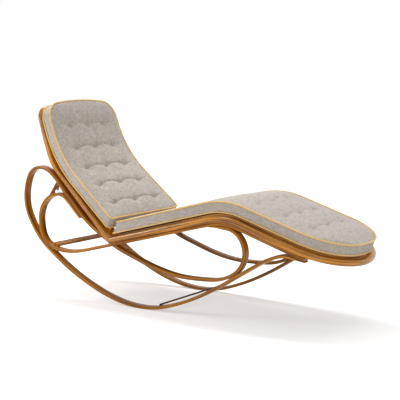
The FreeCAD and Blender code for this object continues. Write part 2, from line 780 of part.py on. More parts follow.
def cushion(path, rows, base, height, face, tufts, wall):
    """Loft the cover and its hollow through rows of (s, lean, half width, crown)."""
    def at(s, inset_s):
        p, t = path.at(s + inset_s)
        n = left(t) if face > 0 else (-left(t)[0], -left(t)[1])
        return p, n
    outer = []
    inner = []
    for i, (s, lean, half, rise) in enumerate(rows):
        shift = wall if i == 0 else (-wall if i == len(rows) - 1 else 0.0)
        for wires, inset, ds in ((outer, 0.0, 0.0), (inner, wall, shift)):
            p, n = at(s, ds)
            up = n
            if lean:
                a = math.radians(lean)
                up = (n[0] * math.cos(a) - n[1] * math.sin(a),
                      n[0] * math.sin(a) + n[1] * math.cos(a))
                k = 1.0 / math.cos(a)
                up = (up[0] * k, up[1] * k)
            wires.append(cushion_section(p, up, half - inset, base + inset, base + height - inset,
                                         max(rise, 1.0), SIDE_BULGE))
    body = Part.makeLoft(outer, True, True)
    hollow = Part.makeLoft(inner, True, True)
    for s, y in tufts:
        p, n = at(s, 0.0)
        rise = 0.0
        for a, b in zip(rows[:-1], rows[1:]):
            if a[0] <= s <= b[0]:
                f = (s - a[0]) / (b[0] - a[0])
                half = a[2] + (b[2] - a[2]) * f
                rise = (a[3] + (b[3] - a[3]) * f) * (1.0 - (y / half) ** 2)
        c = along(p, n, base + height + rise - TUFT_DEPTH)
        pucker = Part.makeCone(0.0, 2.0 * TUFT_R, 2.0 * TUFT_DEPTH, spot(c, y), spot(n, 0.0))
        body = body.cut(pucker)
    return body.cut(hollow)


def spread(a, b, step):
    n = max(1, int(round((b - a) / step)))
    return [a + (b - a) * i / n for i in range(n + 1)]


seat_base = RING_LIFT + WEB_T + CUSHION_GAP
foot_tip = seat_line.length() - FOOT_MARGIN
pad_half = LEG_CUSHION_WIDTH / 2.0
foot_start = foot_tip - FOOT_DEPTH
rows = []
knee_a = SEAT_LENGTH - knee_run
knee_b = seat_line.length() - LEG_LENGTH + knee_run
stations = [SEAT_PAD_START] + spread(SEAT_PAD_START + SEAT_CUSHION, knee_a, ROW_STEP)
stations += spread(knee_a, knee_b, BENT_STEP)[1:] + spread(knee_b, foot_start, ROW_STEP)[1:]
for s in stations:
    f = min(1.0, s / SEAT_LENGTH)
    half = (SEAT_CUSHION_WIDTH + (LEG_CUSHION_WIDTH - SEAT_CUSHION_WIDTH) * f) / 2.0
    rise = SEAT_CROWN + (LEG_CROWN - SEAT_CROWN) * f ** 3
    rise = rise * min(1.0, 0.3 + (s - SEAT_PAD_START) / 110.0)
    rows.append((s, SEAT_PAD_LEAN if not rows else 0.0, half, rise))
for k in range(1, 9):
    a = math.radians(END_ANGLE * k / 8.0)
    along_foot = FOOT_DEPTH * math.sin(a) ** (2.0 / FOOT_POWER)
    half = pad_half * math.cos(a) ** (2.0 / FOOT_POWER)
    rows.append((foot_start + along_foot, 0.0, half, LEG_CROWN * (half / pad_half) ** 1.3))
seat_tufts = [(s, y) for s in SEAT_TUFTS for y in (-TUFT_Y, 0.0, TUFT_Y)]
parts["seat_cushion"] = cushion(seat_line, rows, seat_base, SEAT_CUSHION, 1, seat_tufts, SEAT_COVER)

rows = []
pad_end = pad_line.length()
corner_end = pad_end - PAD_ARCH
stations = [BACK_PAD_START] + spread(BACK_PAD_START + BACK_CUSHION, PAD_STRAIGHT, ROW_STEP)
arc_end = PAD_STRAIGHT + pad_arc.length
stations += spread(PAD_STRAIGHT, arc_end, 1.5 * BENT_STEP)[1:]
if corner_end - BACK_CUSHION_R > arc_end + MITRE_GAP:
    stations.append(corner_end - BACK_CUSHION_R)
for s in stations:
    f = s / pad_end
    half = (BACK_CUSHION_LOW + (BACK_CUSHION_TOP - BACK_CUSHION_LOW) * f) / 2.0
    rise = BACK_CROWN * min(1.0, 0.15 + (s - BACK_PAD_START) / 110.0)
    rows.append((s, BACK_PAD_LEAN if not rows else 0.0, half, rise))
last = rows[-1][2]
for k in range(1, 7):
    a = math.radians(END_ANGLE * k / 6.0)
    half = last - BACK_CUSHION_R * (1.0 - math.cos(a))
    rows.append((corner_end - BACK_CUSHION_R * (1.0 - math.sin(a)), 0.0, half,
                 BACK_CROWN * (0.3 + 0.7 * math.cos(a))))
top_row = rows[-1]
for k in (0.66, 0.3):
    rows.append((top_row[0] + (pad_end - top_row[0]) * (1.0 - k * k), 0.0, top_row[2] * k,
                 top_row[3] * k))
back_tufts = [(s, y) for s in BACK_TUFTS for y in (-TUFT_Y, 0.0, TUFT_Y)]
parts["back_cushion"] = cushion(pad_line, rows, 0.0, BACK_CUSHION, -1, back_tufts, BACK_COVER)

# Hinges: butt hinges let into the mitre faces, knuckles on the corner's line
for side, sign in sides:
    y0 = sign * HINGE_Y - HINGE_LONG / 2.0
    third = HINGE_LONG / 3.0
    axis = FreeCAD.Vector(0, 1, 0)

    def rod(y, length, radius):
        return Part.makeCylinder(radius, length, spot(hinge, y), axis)

    def leaf(normal, near):
        a = along(along(hinge, mitre, near), normal, MITRE_GAP)
        b = along(along(hinge, mitre, LEAF_DEPTH), normal, MITRE_GAP)
        return plate([a, b, along(b, normal, LEAF_T), along(a, normal, LEAF_T)], y0, HINGE_LONG)

    def tab(normal, y, width):
        a = along(hinge, normal, MITRE_GAP)
        b = along(along(hinge, mitre, KNUCKLE_R + TAB_DEPTH), normal, MITRE_GAP)
        return plate([a, b, along(b, normal, LEAF_T), along(a, normal, LEAF_T)], y, width)

    room = rod(y0 - HINGE_ROOM, HINGE_LONG + 2.0 * HINGE_ROOM, KNUCKLE_R + HINGE_ROOM)
    seat_cross = seat_cross.cut(room).cut(leaf(mitre_seat, 0.0))
    back_cross = back_cross.cut(room).cut(leaf(mitre_back, 0.0))
    seat_leaf = leaf(mitre_seat, KNUCKLE_R + 1.0)
    for y in (y0, y0 + 2.0 * third):
        seat_leaf = seat_leaf.fuse(rod(y, third, KNUCKLE_R))
        seat_leaf = seat_leaf.fuse(tab(mitre_seat, y, third))
    seat_leaf = seat_leaf.cut(rod(y0 - 1.0, HINGE_LONG + 2.0, PIN_R))
    back_leaf = leaf(mitre_back, KNUCKLE_R + 1.0)
    y = y0 + third + KNUCKLE_GAP
    back_leaf = back_leaf.fuse(rod(y, third - 2.0 * KNUCKLE_GAP, KNUCKLE_R))
    back_leaf = back_leaf.fuse(tab(mitre_back, y, third - 2.0 * KNUCKLE_GAP))
    back_leaf = back_leaf.cut(rod(y0 - 1.0, HINGE_LONG + 2.0, PIN_R + PIN_FIT))
    parts[side + "_hinge_seat_leaf"] = seat_leaf.removeSplitter()
    parts[side + "_hinge_back_leaf"] = back_leaf.removeSplitter()
    parts[side + "_hinge_pin"] = rod(y0, HINGE_LONG, PIN_R)
parts["seat_rear_rail"] = seat_cross
parts["back_lower_rail"] = back_cross

# Notched racks, the rod they catch on and its plates
pivot = (RACK_X, RACK_Z)
rack_t = unit(180.0 + RACK_ANGLE)
rack_out = left(rack_t)


def on_rack(a, out):
    return along(along(pivot, rack_t, a), rack_out, out)


rod_c = on_rack(ROD_ALONG, BARB_OUT + ROD_CLEAR + ROD_R)


def bar(a, b, width, y, depth):
    """A round-ended bar between two points of the side view."""
    t = (b[0] - a[0], b[1] - a[1])
    span = math.hypot(*t)
    t = (t[0] / span, t[1] / span)
    r = width / 2.0
    a0, a1 = along(a, left(t), r), along(a, left(t), -r)
    b0, b1 = along(b, left(t), r), along(b, left(t), -r)
    edges = [Part.LineSegment(spot(a0, y), spot(b0, y)).toShape(),
             Part.Arc(spot(b0, y), spot(along(b, t, r), y), spot(b1, y)).toShape(),
             Part.LineSegment(spot(b1, y), spot(a1, y)).toShape(),
             Part.Arc(spot(a1, y), spot(along(a, t, -r), y), spot(a0, y)).toShape()]
    return Part.Face(Part.Wire(edges)).extrude(FreeCAD.Vector(0, depth, 0))


def pin(c, y, length, radius):
    return Part.makeCylinder(radius, length, spot(c, y), FreeCAD.Vector(0, 1, 0))


for side, sign in sides:
    y_rack = sign * RACK_Y if sign > 0 else -RACK_Y - RACK_T
    body = bar(pivot, on_rack(RACK_LONG, 0.0), RACK_W, y_rack, RACK_T)
    for k in range(BARBS):
        a = BARB_FIRST + k * BARB_PITCH
        h = RACK_W / 2.0 - 1.0
        tooth = plate([on_rack(a - BARB_BACK, h), on_rack(a - BARB_SHOULDER, BARB_OUT),
                       on_rack(a, BARB_OUT - BARB_NOSE), on_rack(a - BARB_ROOT, h)], y_rack, RACK_T)
        body = body.fuse(tooth)
    body = body.cut(pin(pivot, y_rack - 1.0, RACK_T + 2.0, RACK_PIN_R + PIN_FIT))
    parts[side + "_rack"] = body.removeSplitter()
    # Bracket: a plate on the inner ring's side with the rack's pin
    y_wall = top_half - side_gap - RING_W - WALL_FIT
    y_plate = y_wall - PLATE_T if sign > 0 else -y_wall
    half_plate = RACK_PLATE / 2.0
    base = bar(along(pivot, top_t, -half_plate), along(pivot, top_t, half_plate), PLATE_W,
               y_plate, PLATE_T)
    y_end = RACK_Y - SIDE_FIT - HEAD_T
    y_boss = RACK_Y + RACK_T + SIDE_FIT
    y_face = y_wall - PLATE_T
    stub = pin(pivot, y_end if sign > 0 else -y_face, y_face - y_end, RACK_PIN_R)
    head = pin(pivot, y_end if sign > 0 else -y_end - HEAD_T, HEAD_T, RACK_PIN_R + HEAD_OVER)
    boss = pin(pivot, y_boss if sign > 0 else -y_face, y_face - y_boss, RACK_PIN_R + BOSS_OVER)
    parts[side + "_rack_bracket"] = base.fuse([stub, head, boss]).removeSplitter()
    # Plate that carries the rod, on the inner face of the runner strip
    y_in = half_base - STRIP_W
    near, near_t = runner.at(runner.where_x(ROD_PLATE_X, loop_top))
    near = along(near, left(near_t), STRIP_T / 2.0 - PLATE_W / 2.0 - SIDE_FIT)
    y_p = y_in - PLATE_T if sign > 0 else -y_in
    holder = bar(near, rod_c, PLATE_W, y_p, PLATE_T)
    parts[side + "_rod_plate"] = holder.cut(pin(rod_c, y_p - 1.0, PLATE_T + 2.0, ROD_R))
y_in = half_base - STRIP_W
parts["stay_rod"] = pin(rod_c, -y_in, 2.0 * y_in, ROD_R)
parts["rack_tie_rod"] = pin(on_rack(RACK_LONG, 0.0), -RACK_Y, 2.0 * RACK_Y, RACK_PIN_R)

# Rear stretcher: a slat bent to seat on the small loops
s_mid = inner.where_x(STRETCHER_X, inner.where_x(SMALL_REAR[0][0] + 6.0, inner.length() * 0.15),
                      inner.length() * 0.6)
seat_part = inner.part(s_mid - STRETCHER_W / 2.0, s_mid + STRETCHER_W / 2.0)
slat = slab(seat_part.shifted(d), seat_part.shifted(d + STRETCHER_T), -half_base + STRETCHER_IN,
            BASE_WIDTH - 2.0 * STRETCHER_IN)
parts["rear_stretcher"] = slat

# Bottom tie rod between the runners
tie_p, tie_t = runner.at(runner.where_x(TIE_X, front_tail.length(), loop_start))
tie_c = along(tie_p, left(tie_t), -(STRIP_T / 2.0 + TIE_R))
parts["bottom_tie_rod"] = pin(tie_c, -half_base + TIE_IN, BASE_WIDTH - 2.0 * TIE_IN, TIE_R)

os.makedirs("parts", exist_ok=True)
for name in sorted(parts):
    shape = parts[name]
    if len(shape.Solids) == 1:
        shape = shape.Solids[0]
    shape.exportStep("parts/%s.step" % name)
print("runner strip length %.0f, inner strip length %.0f" % (runner.length(), inner.length()))
print("rod at %.1f %.1f" % rod_c)
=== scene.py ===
import cmath
import math

import bmesh
import bpy
from bpy.props import FloatProperty, FloatVectorProperty, IntProperty, PointerProperty
from mathutils import Matrix, Quaternion, Vector
from mathutils.kdtree import KDTree


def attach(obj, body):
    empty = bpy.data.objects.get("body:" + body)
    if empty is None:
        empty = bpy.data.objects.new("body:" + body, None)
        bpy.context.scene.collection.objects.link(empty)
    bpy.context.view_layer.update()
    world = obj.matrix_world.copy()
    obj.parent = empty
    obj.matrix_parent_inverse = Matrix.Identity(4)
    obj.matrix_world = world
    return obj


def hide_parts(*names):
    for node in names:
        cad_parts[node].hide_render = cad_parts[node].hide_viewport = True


bl_info = {
    "name": "Bentwood Rocking Chaise",
    "version": (1, 0, 0),
    "blender": (4, 5, 0),
    "location": "View3D > Sidebar > Chaise",
    "description": "Builds the looks of a bentwood rocking chaise lounge over its packed frame",
    "category": "Object",
}

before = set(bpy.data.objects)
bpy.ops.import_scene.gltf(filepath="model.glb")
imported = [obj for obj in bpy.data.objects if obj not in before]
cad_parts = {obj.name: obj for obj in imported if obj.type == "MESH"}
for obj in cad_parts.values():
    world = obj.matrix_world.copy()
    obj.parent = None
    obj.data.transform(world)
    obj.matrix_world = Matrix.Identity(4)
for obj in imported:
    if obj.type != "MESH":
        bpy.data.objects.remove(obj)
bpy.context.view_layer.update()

MM = 0.001
SIDES = (("right", -1.0), ("left", 1.0))

# Construction sizes in millimetres, side view as x + z*1j
HINGE = -165.0 + 314.0j
SEAT_SLOPE = 14.3
LEG_SLOPE = 17.6
BACK_SLOPE = 138.7
SEAT_LENGTH = 628.0
LEG_LENGTH = 588.0
KNEE_R = 320.0
RAIL_W = 32.0
SEAT_RAIL_H = 28.0
BACK_RAIL_H = 26.5
RAIL_ROUND = 12.5
RING_H = 18.0
RING_W = 20.0
RING_LIFT = 8.0
RING_INSET = 32.2
SEAT_HALF = 274.0
BACK_TOP_HALF = 245.0
CROSS_RAIL = 30.0
NOSE_R = 242.0
NOSE_DEPTH = 249.0
TAIL = 40.0
MITRE_GAP = 0.3
NOTCH_GAP = 1.0
RING_GAP = 0.2
BACK_RING_INSET = RING_INSET + 0.3
SMALL_ROUND = 2.5
STRIP_ROUND = 3.0
BACK_TRAVEL = 17.0
NOTCH_CUTS = 5

# Tip of the seat's frame: on each side an arc of NOSE_R runs into one of TIP_R
TIP_R = ((NOSE_DEPTH ** 2 + SEAT_HALF ** 2 - 2.0 * SEAT_HALF * NOSE_R)
         / (2.0 * (NOSE_DEPTH - NOSE_R)))
NOSE_TURN = math.acos((SEAT_HALF - NOSE_R) / (TIP_R - NOSE_R))

# The back's outer rail, and the cushion's rear face in front of it
BACK_STRAIGHT = 390.0
BACK_BEND_R = 230.0
BACK_BEND = 28.5
BACK_TOP_R = 1500.0
BACK_TOP_LENGTH = 94.0
BACK_TOP_LINE = 142.0
BACK_TAPER_R = 700.0
BACK_CORNER_R = 100.0
BACK_RAIL_CORNER_R = 70.0
BACK_ARCH_R = 2000.0
BACK_LIFT = 21.0
PAD_SLOPE = 139.5
PAD_STRAIGHT = 317.0
PAD_R = 600.0
PAD_BEND = 30.0
PAD_TOP = 128.0
RING_EASE = 1.2
RING_RISE = 6.1
RING_DOWN = 8.0
RING_BEHIND = 3.8

# Webbing straps
STRAP_W = 46.0
STRAP_THICK = 3.0
STRAP_PITCH = 62.0
STRAP_SAG = 2.5
STRAP_START = CROSS_RAIL + 12.0
SEAT_STRAPS_SHORT = 77.0
BACK_STRAPS_SHORT = 70.0
STRAP_INSET = RING_INSET + 2.0

# Cushions: widths at the hinge and at the far end, and starts of underside and face
PAD_CORNER = 16.0
SEAT_PAD_WIDTHS = (532.0, 492.0)
SEAT_PAD_STARTS = (14.0, 50.0)
SEAT_PAD_SHORT = 29.0
SEAT_PAD_LIFT = 3.8
SEAT_TIP_DEPTH = 220.0
SEAT_TIP_HALF = 246.0
SEAT_TIP_POWER = 2.24
BACK_PAD_WIDTHS = (534.0, 484.0)
BACK_PAD_STARTS = (37.0, 52.0)
BACK_PAD_CORNER = 88.0
BACK_PAD_ARCH = 9.0

# Tufts: distances of the rows from the hinge, and how far out the first and last rows reach
SEAT_TUFT_ROWS = [150.0 + 140.0 * i for i in range(7)]
SEAT_TUFT_SPREAD = (130.0, 130.0)
SEAT_TUFT_SHARE = 0.6
SEAT_CROWN_SHARE = 0.6
BACK_TUFT_ROWS = (138.0, 258.0, 377.0, 501.0, 632.0)
BACK_TUFT_SPREAD = (155.0, 125.0)
TUFT_R = 19.0
TUFT_REACH = 60.0

# Folds from tuft to tuft: a narrow crease in a wide hollow
FOLD_RUN = 85.0
FOLD_BOW = 11.0
FOLD_NARROW = 5.0
FOLD_WIDE = 15.0
SEAT_FOLD = 2.2
BACK_FOLD = 4.8

# Cover: how its face rises from the seams, and from what share of the height it is a face
CROWN_POWER = 2.4
CROWN_RUN = 60.0
FACE_SHARE = 0.8

# Sewn down while the filling swells: tufts pulled in by this share and more, and the seams
TUFT_HELD = 0.25
SEAM_ACROSS = 0.12
SEAM_ENDS = 0.1

# Filling: frames of simulation, and how far it may move the cover, in metres
FILL_FRAMES = 20
FILL_MOST = 0.010

# Piping: how far it stands out of the seams, under the face and over the underside
PIPING_OUT = 0.5
PIPING_UNDER = 1.0
PIPING_OVER = 3.0
PIPING_STEP = 9.0
PIPING_SIDES = 10

# Cloth is shaded smooth over edges up to this many degrees
CLOTH_ANGLE = 80.0

# Studio. Lamps: name, place, aim, size along and across in metres, and power in watts
LAMPS = (
    ("key", (-1.6, 1.2, 4.0), (0.1, 0.0, 0.4), 1.6, 1.6, 96.0),
    ("overhead", (0.9, 0.6, 3.2), (0.9, 0.0, 0.4), 2.0, 0.4, 17.0),
    ("side", (-1.5, -1.5, 1.0), (0.1, 0.0, 0.4), 0.7, 0.7, 12.0),
    ("front", (2.3, -1.7, 0.8), (0.7, 0.0, 0.35), 1.0, 1.0, 6.0),
)
WORLD_STRENGTH = 0.43
FLOOR_HALF = 14.0
FLOOR_GREY = 0.85
# How white the floor shows at a distance from its middle
FLOOR_NEAR = (1.6, 0.47)
FLOOR_FAR = (6.0, 0.75)
CAMERA_LENS = 90.0
CAMERA_SENSOR = 36.0
CAMERA_PLACE = (2.7118, -3.7746, 1.0399)
CAMERA_TILT = 83.007
CAMERA_TURN = 34.128

# The bent strips, each station a place and a heading
STRIP_T = 15.0
STRIP_W = 35.0
REST_GAP = 0.3
THIN_END = 70.0
THINNEST = 0.15
LAP_ROOM = 0.05
LAP_OVER = 1.0
BASE_HALF = 257.5
STRIP_END_X = 834.0
FRONT_LAP_X = 786.0
KNEE_LAP_X = 462.0
KNEE_END_X = 372.0
FRONT_TOUCH_X = 500.0
REAR_TOUCH_X = -576.0
SCARF_X = (-342.0, -398.0)
SEAT_JOIN_X = -320.0
RUNNER = (
    (624.0 + 271.5j, 210.5),
    (297.0 + 85.0j, 205.0),
    (0.0 + 7.5j, 180.0),
    (-261.0 + 62.0j, 158.5),
    (-475.0 + 171.0j, 147.0),
    (-632.0 + 301.0j, 127.0),
    (-698.5 + 460.0j, 90.0),
    (-600.0 + 612.5j, 0.0),
    (-480.0 + 540.7j, -49.0),
    (-344.0 + 402.5j, -43.0),
    (-173.0 + 287.5j, -30.0),
    (4.5 + 218.0j, -18.5),
    (262.0 + 170.5j, 0.0),
)
FRONT_LOOP = (547.5 + 305.0j, 90.0)
SMALL_TOP = (-484.0 + 489.5j, 180.0)
SMALL_REAR = (-605.5 + 366.0j, 270.0)
SMALL_FOOT = (-446.0 + 220.5j, 0.0)
# Where the runner strip crosses the inner one, and the inner strip the runner
CROSSING_X = (-300.0, -60.0)
PASSING_X = (-250.0, -90.0)


def srgb(code):
    """Linear colour from an sRGB hex value such as #a05020."""
    parts = [int(code[i:i + 2], 16) / 255.0 for i in (1, 3, 5)]
    return tuple(c / 12.92 if c <= 0.04045 else ((c + 0.055) / 1.055) ** 2.4 for c in parts)


# Sizes and colours that a user would change


def length_prop(name, description, default):
    return FloatProperty(name=name, description=description, default=default, unit="LENGTH")


def colour_prop(name, description, code):
    return FloatVectorProperty(name=name, description=description, default=srgb(code),
                               subtype="COLOR")


class ChaiseSizes(bpy.types.PropertyGroup):
    seat_thickness: length_prop("Seat cushion", "Height of the seat cushion's sides", 0.050)
    back_thickness: length_prop("Back cushion", "Height of the back cushion's sides", 0.050)
    crown: length_prop("Crown", "Rise of the cushions' faces over their seams", 0.010)
    tuft_depth: length_prop("Tuft depth", "How far each sewn tuft is pulled in", 0.012)
    piping: length_prop("Piping", "Diameter of the piping round the cushions", 0.0068)
    pressure: FloatProperty(
        name="Filling pressure", description="Air pressure that stands for the filling",
        default=4.0)
    voxel: length_prop("Cloth cell", "Size of the cloth mesh's cells", 0.0075)
    strap_count: IntProperty(
        name="Segments", description="Segments across each webbing strap", default=16)


class ChaiseColours(bpy.types.PropertyGroup):
    rail_light: colour_prop("Rail, light", "Lacquered wood between the streaks", "#f0a018")
    rail_dark: colour_prop("Rail, dark", "Dark streaks of the lacquered wood", "#6a3603")
    strip_light: colour_prop("Strip, light", "Bent strips between the streaks", "#cc841c")
    strip_dark: colour_prop("Strip, dark", "Dark streaks of the bent strips", "#703e08")
    cloth_light: colour_prop("Cloth, light", "Pale yarn of the cushion cloth", "#d6ccc2")
    cloth_dark: colour_prop("Cloth, dark", "Dark yarn of the cushion cloth", "#afa499")
    piping: colour_prop("Piping", "Covered cord in the seams", "#ffd486")
    webbing: colour_prop("Webbing", "Woven straps", "#2a2420")
    brass: colour_prop("Brass", "Hinges and brackets", "#b9985a")


# Side-view lines, worked in complex numbers

SEARCH_STEPS = 400
HALVINGS = 40


def unit(degrees):
    return cmath.rect(1.0, math.radians(degrees))


class Run:
    """A straight or circular stretch from p, heading t, to q."""

    def __init__(self, p, t, q):
        self.p = p
        self.t = t
        self.q = q
        w = (q - p) / t
        self.radius = None
        self.length = abs(w)
        if abs(w.imag) > 1e-7 * abs(w) ** 2:
            self.radius = abs(w) ** 2 / (2.0 * w.imag)
            self.length = abs(self.radius * 2.0 * math.atan2(w.imag, w.real))

    def at(self, s):
        if self.radius is None:
            return self.p + self.t * s, self.t
        a = s / self.radius
        step = self.radius * (math.sin(a) + 1j * (1.0 - math.cos(a)))
        return self.p + self.t * step, self.t * cmath.exp(1j * a)

    def shifted(self, d):
        t_end = self.at(self.length)[1]
        return Run(self.p + 1j * self.t * d, self.t, self.q + 1j * t_end * d)

    def backwards(self):
        return Run(self.q, -self.at(self.length)[1], self.p)

    def part(self, a, b):
        p, t = self.at(a)
        return Run(p, t, self.at(b)[0])


class Line:
    """Runs that follow each other with a common tangent."""

    def __init__(self, runs):
        self.runs = [r for r in runs if r.length > 1e-6]
        self.length = sum(r.length for r in self.runs)

    def at(self, s):
        for r in self.runs:
            if s <= r.length + 1e-9 or r is self.runs[-1]:
                return r.at(s)
            s -= r.length

    def shifted(self, d):
        return Line([r.shifted(d) for r in self.runs])

    def backwards(self):
        return Line([r.backwards() for r in reversed(self.runs)])

    def part(self, a, b):
        out = []
        start = 0.0
        for r in self.runs:
            lo = max(a, start) - start
            hi = min(b, start + r.length) - start
            if hi > lo + 1e-6:
                out.append(r.part(lo, hi))
            start += r.length
        return Line(out)

    def where_x(self, x, after=0.0, before=None):
        """Distance along the line at which it first crosses x."""
        before = self.length if before is None else before
        step = (before - after) / SEARCH_STEPS
        last = self.at(after)[0].real - x
        for i in range(1, SEARCH_STEPS + 1):
            s = after + step * i
            now = self.at(s)[0].real - x
            if last * now <= 0.0:
                lo = s - step
                for _ in range(HALVINGS):
                    mid = (lo + s) / 2.0
                    if (self.at(mid)[0].real - x) * last > 0.0:
                        lo = mid
                    else:
                        s = mid
                return s
            last = now
        raise ValueError("the line does not reach x = %.1f" % x)

    def __add__(self, other):
        return Line(self.runs + other.runs)


def bend(p0, t0, p1, t1):
    """Two tangent arcs from p0, heading t0, to p1, heading t1."""
    v = p1 - p0
    t = t0 + t1
    vt = (v * t.conjugate()).real
    vv = abs(v) ** 2
    k = 2.0 * (1.0 - (t0 * t1.conjugate()).real)
    d = vv / (2.0 * vt) if k < 1e-9 else (-vt + math.sqrt(vt * vt + k * vv)) / k
    m = (p0 + p1 + d * (t0 - t1)) / 2.0
    first = Run(p0, t0, m)
    return Line([first, Run(m, first.at(first.length)[1], p1)])


def through(stations):
    """A line that passes each place with its heading."""
    line = Line([])
    for (p0, t0), (p1, t1) in zip(stations[:-1], stations[1:]):
        line = line + bend(p0, t0, p1, t1)
    return line


def curve(p, t, radius, degrees):
    """An arc that turns right."""
    a = math.radians(degrees)
    return Run(p, t, p + t * radius * (math.sin(a) - 1j * (1.0 - math.cos(a))))


def station(row):
    return row[0], unit(row[1])


KNEE_RUN = KNEE_R * math.tan(math.radians((SEAT_SLOPE + LEG_SLOPE) / 2.0))


def seat_side_line():
    """Top edge of the seat's rail, from the hinge over the knee to the tip."""
    t_seat = unit(SEAT_SLOPE)
    t_leg = unit(-LEG_SLOPE)
    knee = HINGE + t_seat * SEAT_LENGTH
    a = knee - t_seat * KNEE_RUN
    b = knee + t_leg * KNEE_RUN
    tip = knee + t_leg * LEG_LENGTH
    return Line([Run(HINGE, t_seat, a), Run(a, t_seat, b), Run(b, t_leg, tip)])


SEAT_LINE = seat_side_line()
LEAN = math.degrees(math.atan((SEAT_HALF - BACK_TOP_HALF) / BACK_STRAIGHT))
TAPER_RUN = BACK_TAPER_R * math.tan(math.radians(LEAN / 2.0))


def pad_side_line():
    """Rear face of the back cushion, seen from the side."""
    t = unit(PAD_SLOPE)
    start = HINGE - 1j * unit(BACK_SLOPE) * BACK_LIFT
    a = start + t * PAD_STRAIGHT
    arc = curve(a, t, PAD_R, PAD_BEND)
    top = unit(PAD_SLOPE - PAD_BEND)
    return Line([Run(start, t, a), arc, Run(arc.q, top, arc.q + top * PAD_TOP)])


PAD_LINE = pad_side_line()


def strip_lines():
    """Centre lines of the runner strip and of the inner strip, and their parts at the crossing."""
    lap = SEAT_LINE.shifted(-SEAT_RAIL_H - STRIP_T * 1.5)
    tail = lap.part(lap.where_x(FRONT_LAP_X), lap.where_x(STRIP_END_X)).backwards()
    runner = tail + through([tail.at(tail.length)] + [station(r) for r in RUNNER])
    rest_p, rest_t = runner.at(runner.where_x(FRONT_TOUCH_X))
    rest_p = rest_p - 1j * rest_t * (STRIP_T + REST_GAP)
    knee_p, knee_t = lap.at(lap.where_x(KNEE_LAP_X))
    runner = runner + through([station(RUNNER[-1]), (rest_p, -rest_t), station(FRONT_LOOP),
                               (knee_p, -knee_t)])
    runner = runner + lap.part(lap.where_x(KNEE_END_X), lap.where_x(KNEE_LAP_X)).backwards()

    top = runner.where_x(RUNNER[7][0].real)
    scarf = runner.part(runner.where_x(SCARF_X[1], top), runner.where_x(SCARF_X[0], top))
    scarf = scarf.shifted(-STRIP_T).backwards()
    kiss_p, kiss_t = runner.at(runner.where_x(REAR_TOUCH_X, runner.where_x(RUNNER[4][0].real)))
    under = SEAT_LINE.shifted(-SEAT_RAIL_H - STRIP_T / 2.0)
    t_seat = unit(SEAT_SLOPE)
    first = under.at(0.0)[0]
    join = first + t_seat * (SEAT_JOIN_X - first.real) / t_seat.real
    loop = scarf + through([scarf.at(scarf.length), station(SMALL_TOP), station(SMALL_REAR),
                            (kiss_p - 1j * kiss_t * STRIP_T, -kiss_t), station(SMALL_FOOT),
                            (join, t_seat)])
    inner = loop + Line([Run(join, t_seat, first)]) + under.part(0.0, under.where_x(STRIP_END_X))
    crossing = runner.part(*(runner.where_x(x, top) for x in CROSSING_X))
    passing = inner.part(*(inner.where_x(x, loop.length) for x in PASSING_X))
    return runner, inner, crossing, passing


def vec(z, y):
    """Side-view point in millimetres to a place in metres."""
    return Vector((z.real * MM, y * MM, z.imag * MM))


def heading(t):
    """Side-view heading to a direction in space."""
    return Vector((t.real, 0.0, t.imag))


def flat_frames(line, y, step=9.0, straight_step=60.0):
    """Places along a side-view line: (point, across, up, distance)."""
    out = []
    start = 0.0
    for r in line.runs:
        n = max(1, int(math.ceil(r.length / (straight_step if r.radius is None else step))))
        for i in range(n + 1 if r is line.runs[-1] else n):
            s = r.length * i / n
            p, t = r.at(s)
            out.append((vec(p, y), Vector((0.0, 1.0, 0.0)), heading(1j * t), (start + s) * MM))
        start += r.length
    return out


class Rod:
    """A heading in space that goes on in lines and arcs and keeps frames on its way."""

    def __init__(self, p, t, up):
        self.p = p
        self.t = t
        self.up = up
        self.across = up.cross(t)
        if self.across.y < 0.0:
            self.across = -self.across
        self.s = 0.0
        self.frames = [self.now()]

    def now(self):
        return (self.p.copy(), self.across.copy(), self.up.copy(), self.s)

    def lean(self, degrees, start):
        """Point the rod inwards, as if it had leaned that much from the hinge on."""
        q = Quaternion(self.up, math.radians(degrees))
        if (q @ self.t).y < 0.0:
            q = Quaternion(self.up, -math.radians(degrees))
        self.p = self.p + Vector((0.0, start * MM * math.tan(math.radians(degrees)), 0.0))
        self.t = q @ self.t
        self.across = q @ self.across
        self.frames = [self.now()]
        return self

    def line(self, length, step=60.0):
        n = max(1, int(math.ceil(length / step)))
        for _ in range(n):
            self.p = self.p + self.t * (length * MM / n)
            self.s += length * MM / n
            self.frames.append(self.now())
        return self

    def arc(self, to_centre, radius, degrees, step=10.0):
        centre = self.p + to_centre * radius * MM
        axis = self.t.cross(to_centre)
        n = max(2, int(math.ceil(math.radians(degrees) * radius / step)))
        turn = Quaternion(axis, math.radians(degrees) / n)
        for _ in range(n):
            self.p = centre + turn @ (self.p - centre)
            self.t = turn @ self.t
            self.up = turn @ self.up
            self.across = turn @ self.across
            self.s += math.radians(degrees) * radius * MM / n
            self.frames.append(self.now())
        return self

    def both(self):
        """Frames of this half and its mirror image, which meet at the middle plane."""
        flip = Vector((1.0, -1.0, 1.0))
        out = list(self.frames)
        out[-1] = (out[-1][0] * Vector((1.0, 0.0, 1.0)),) + out[-1][1:]
        end = out[-1][3]
        for p, across, up, s in reversed(self.frames[:-1]):
            out.append((p * flip, across * flip, up * flip, 2.0 * end - s))
        return out


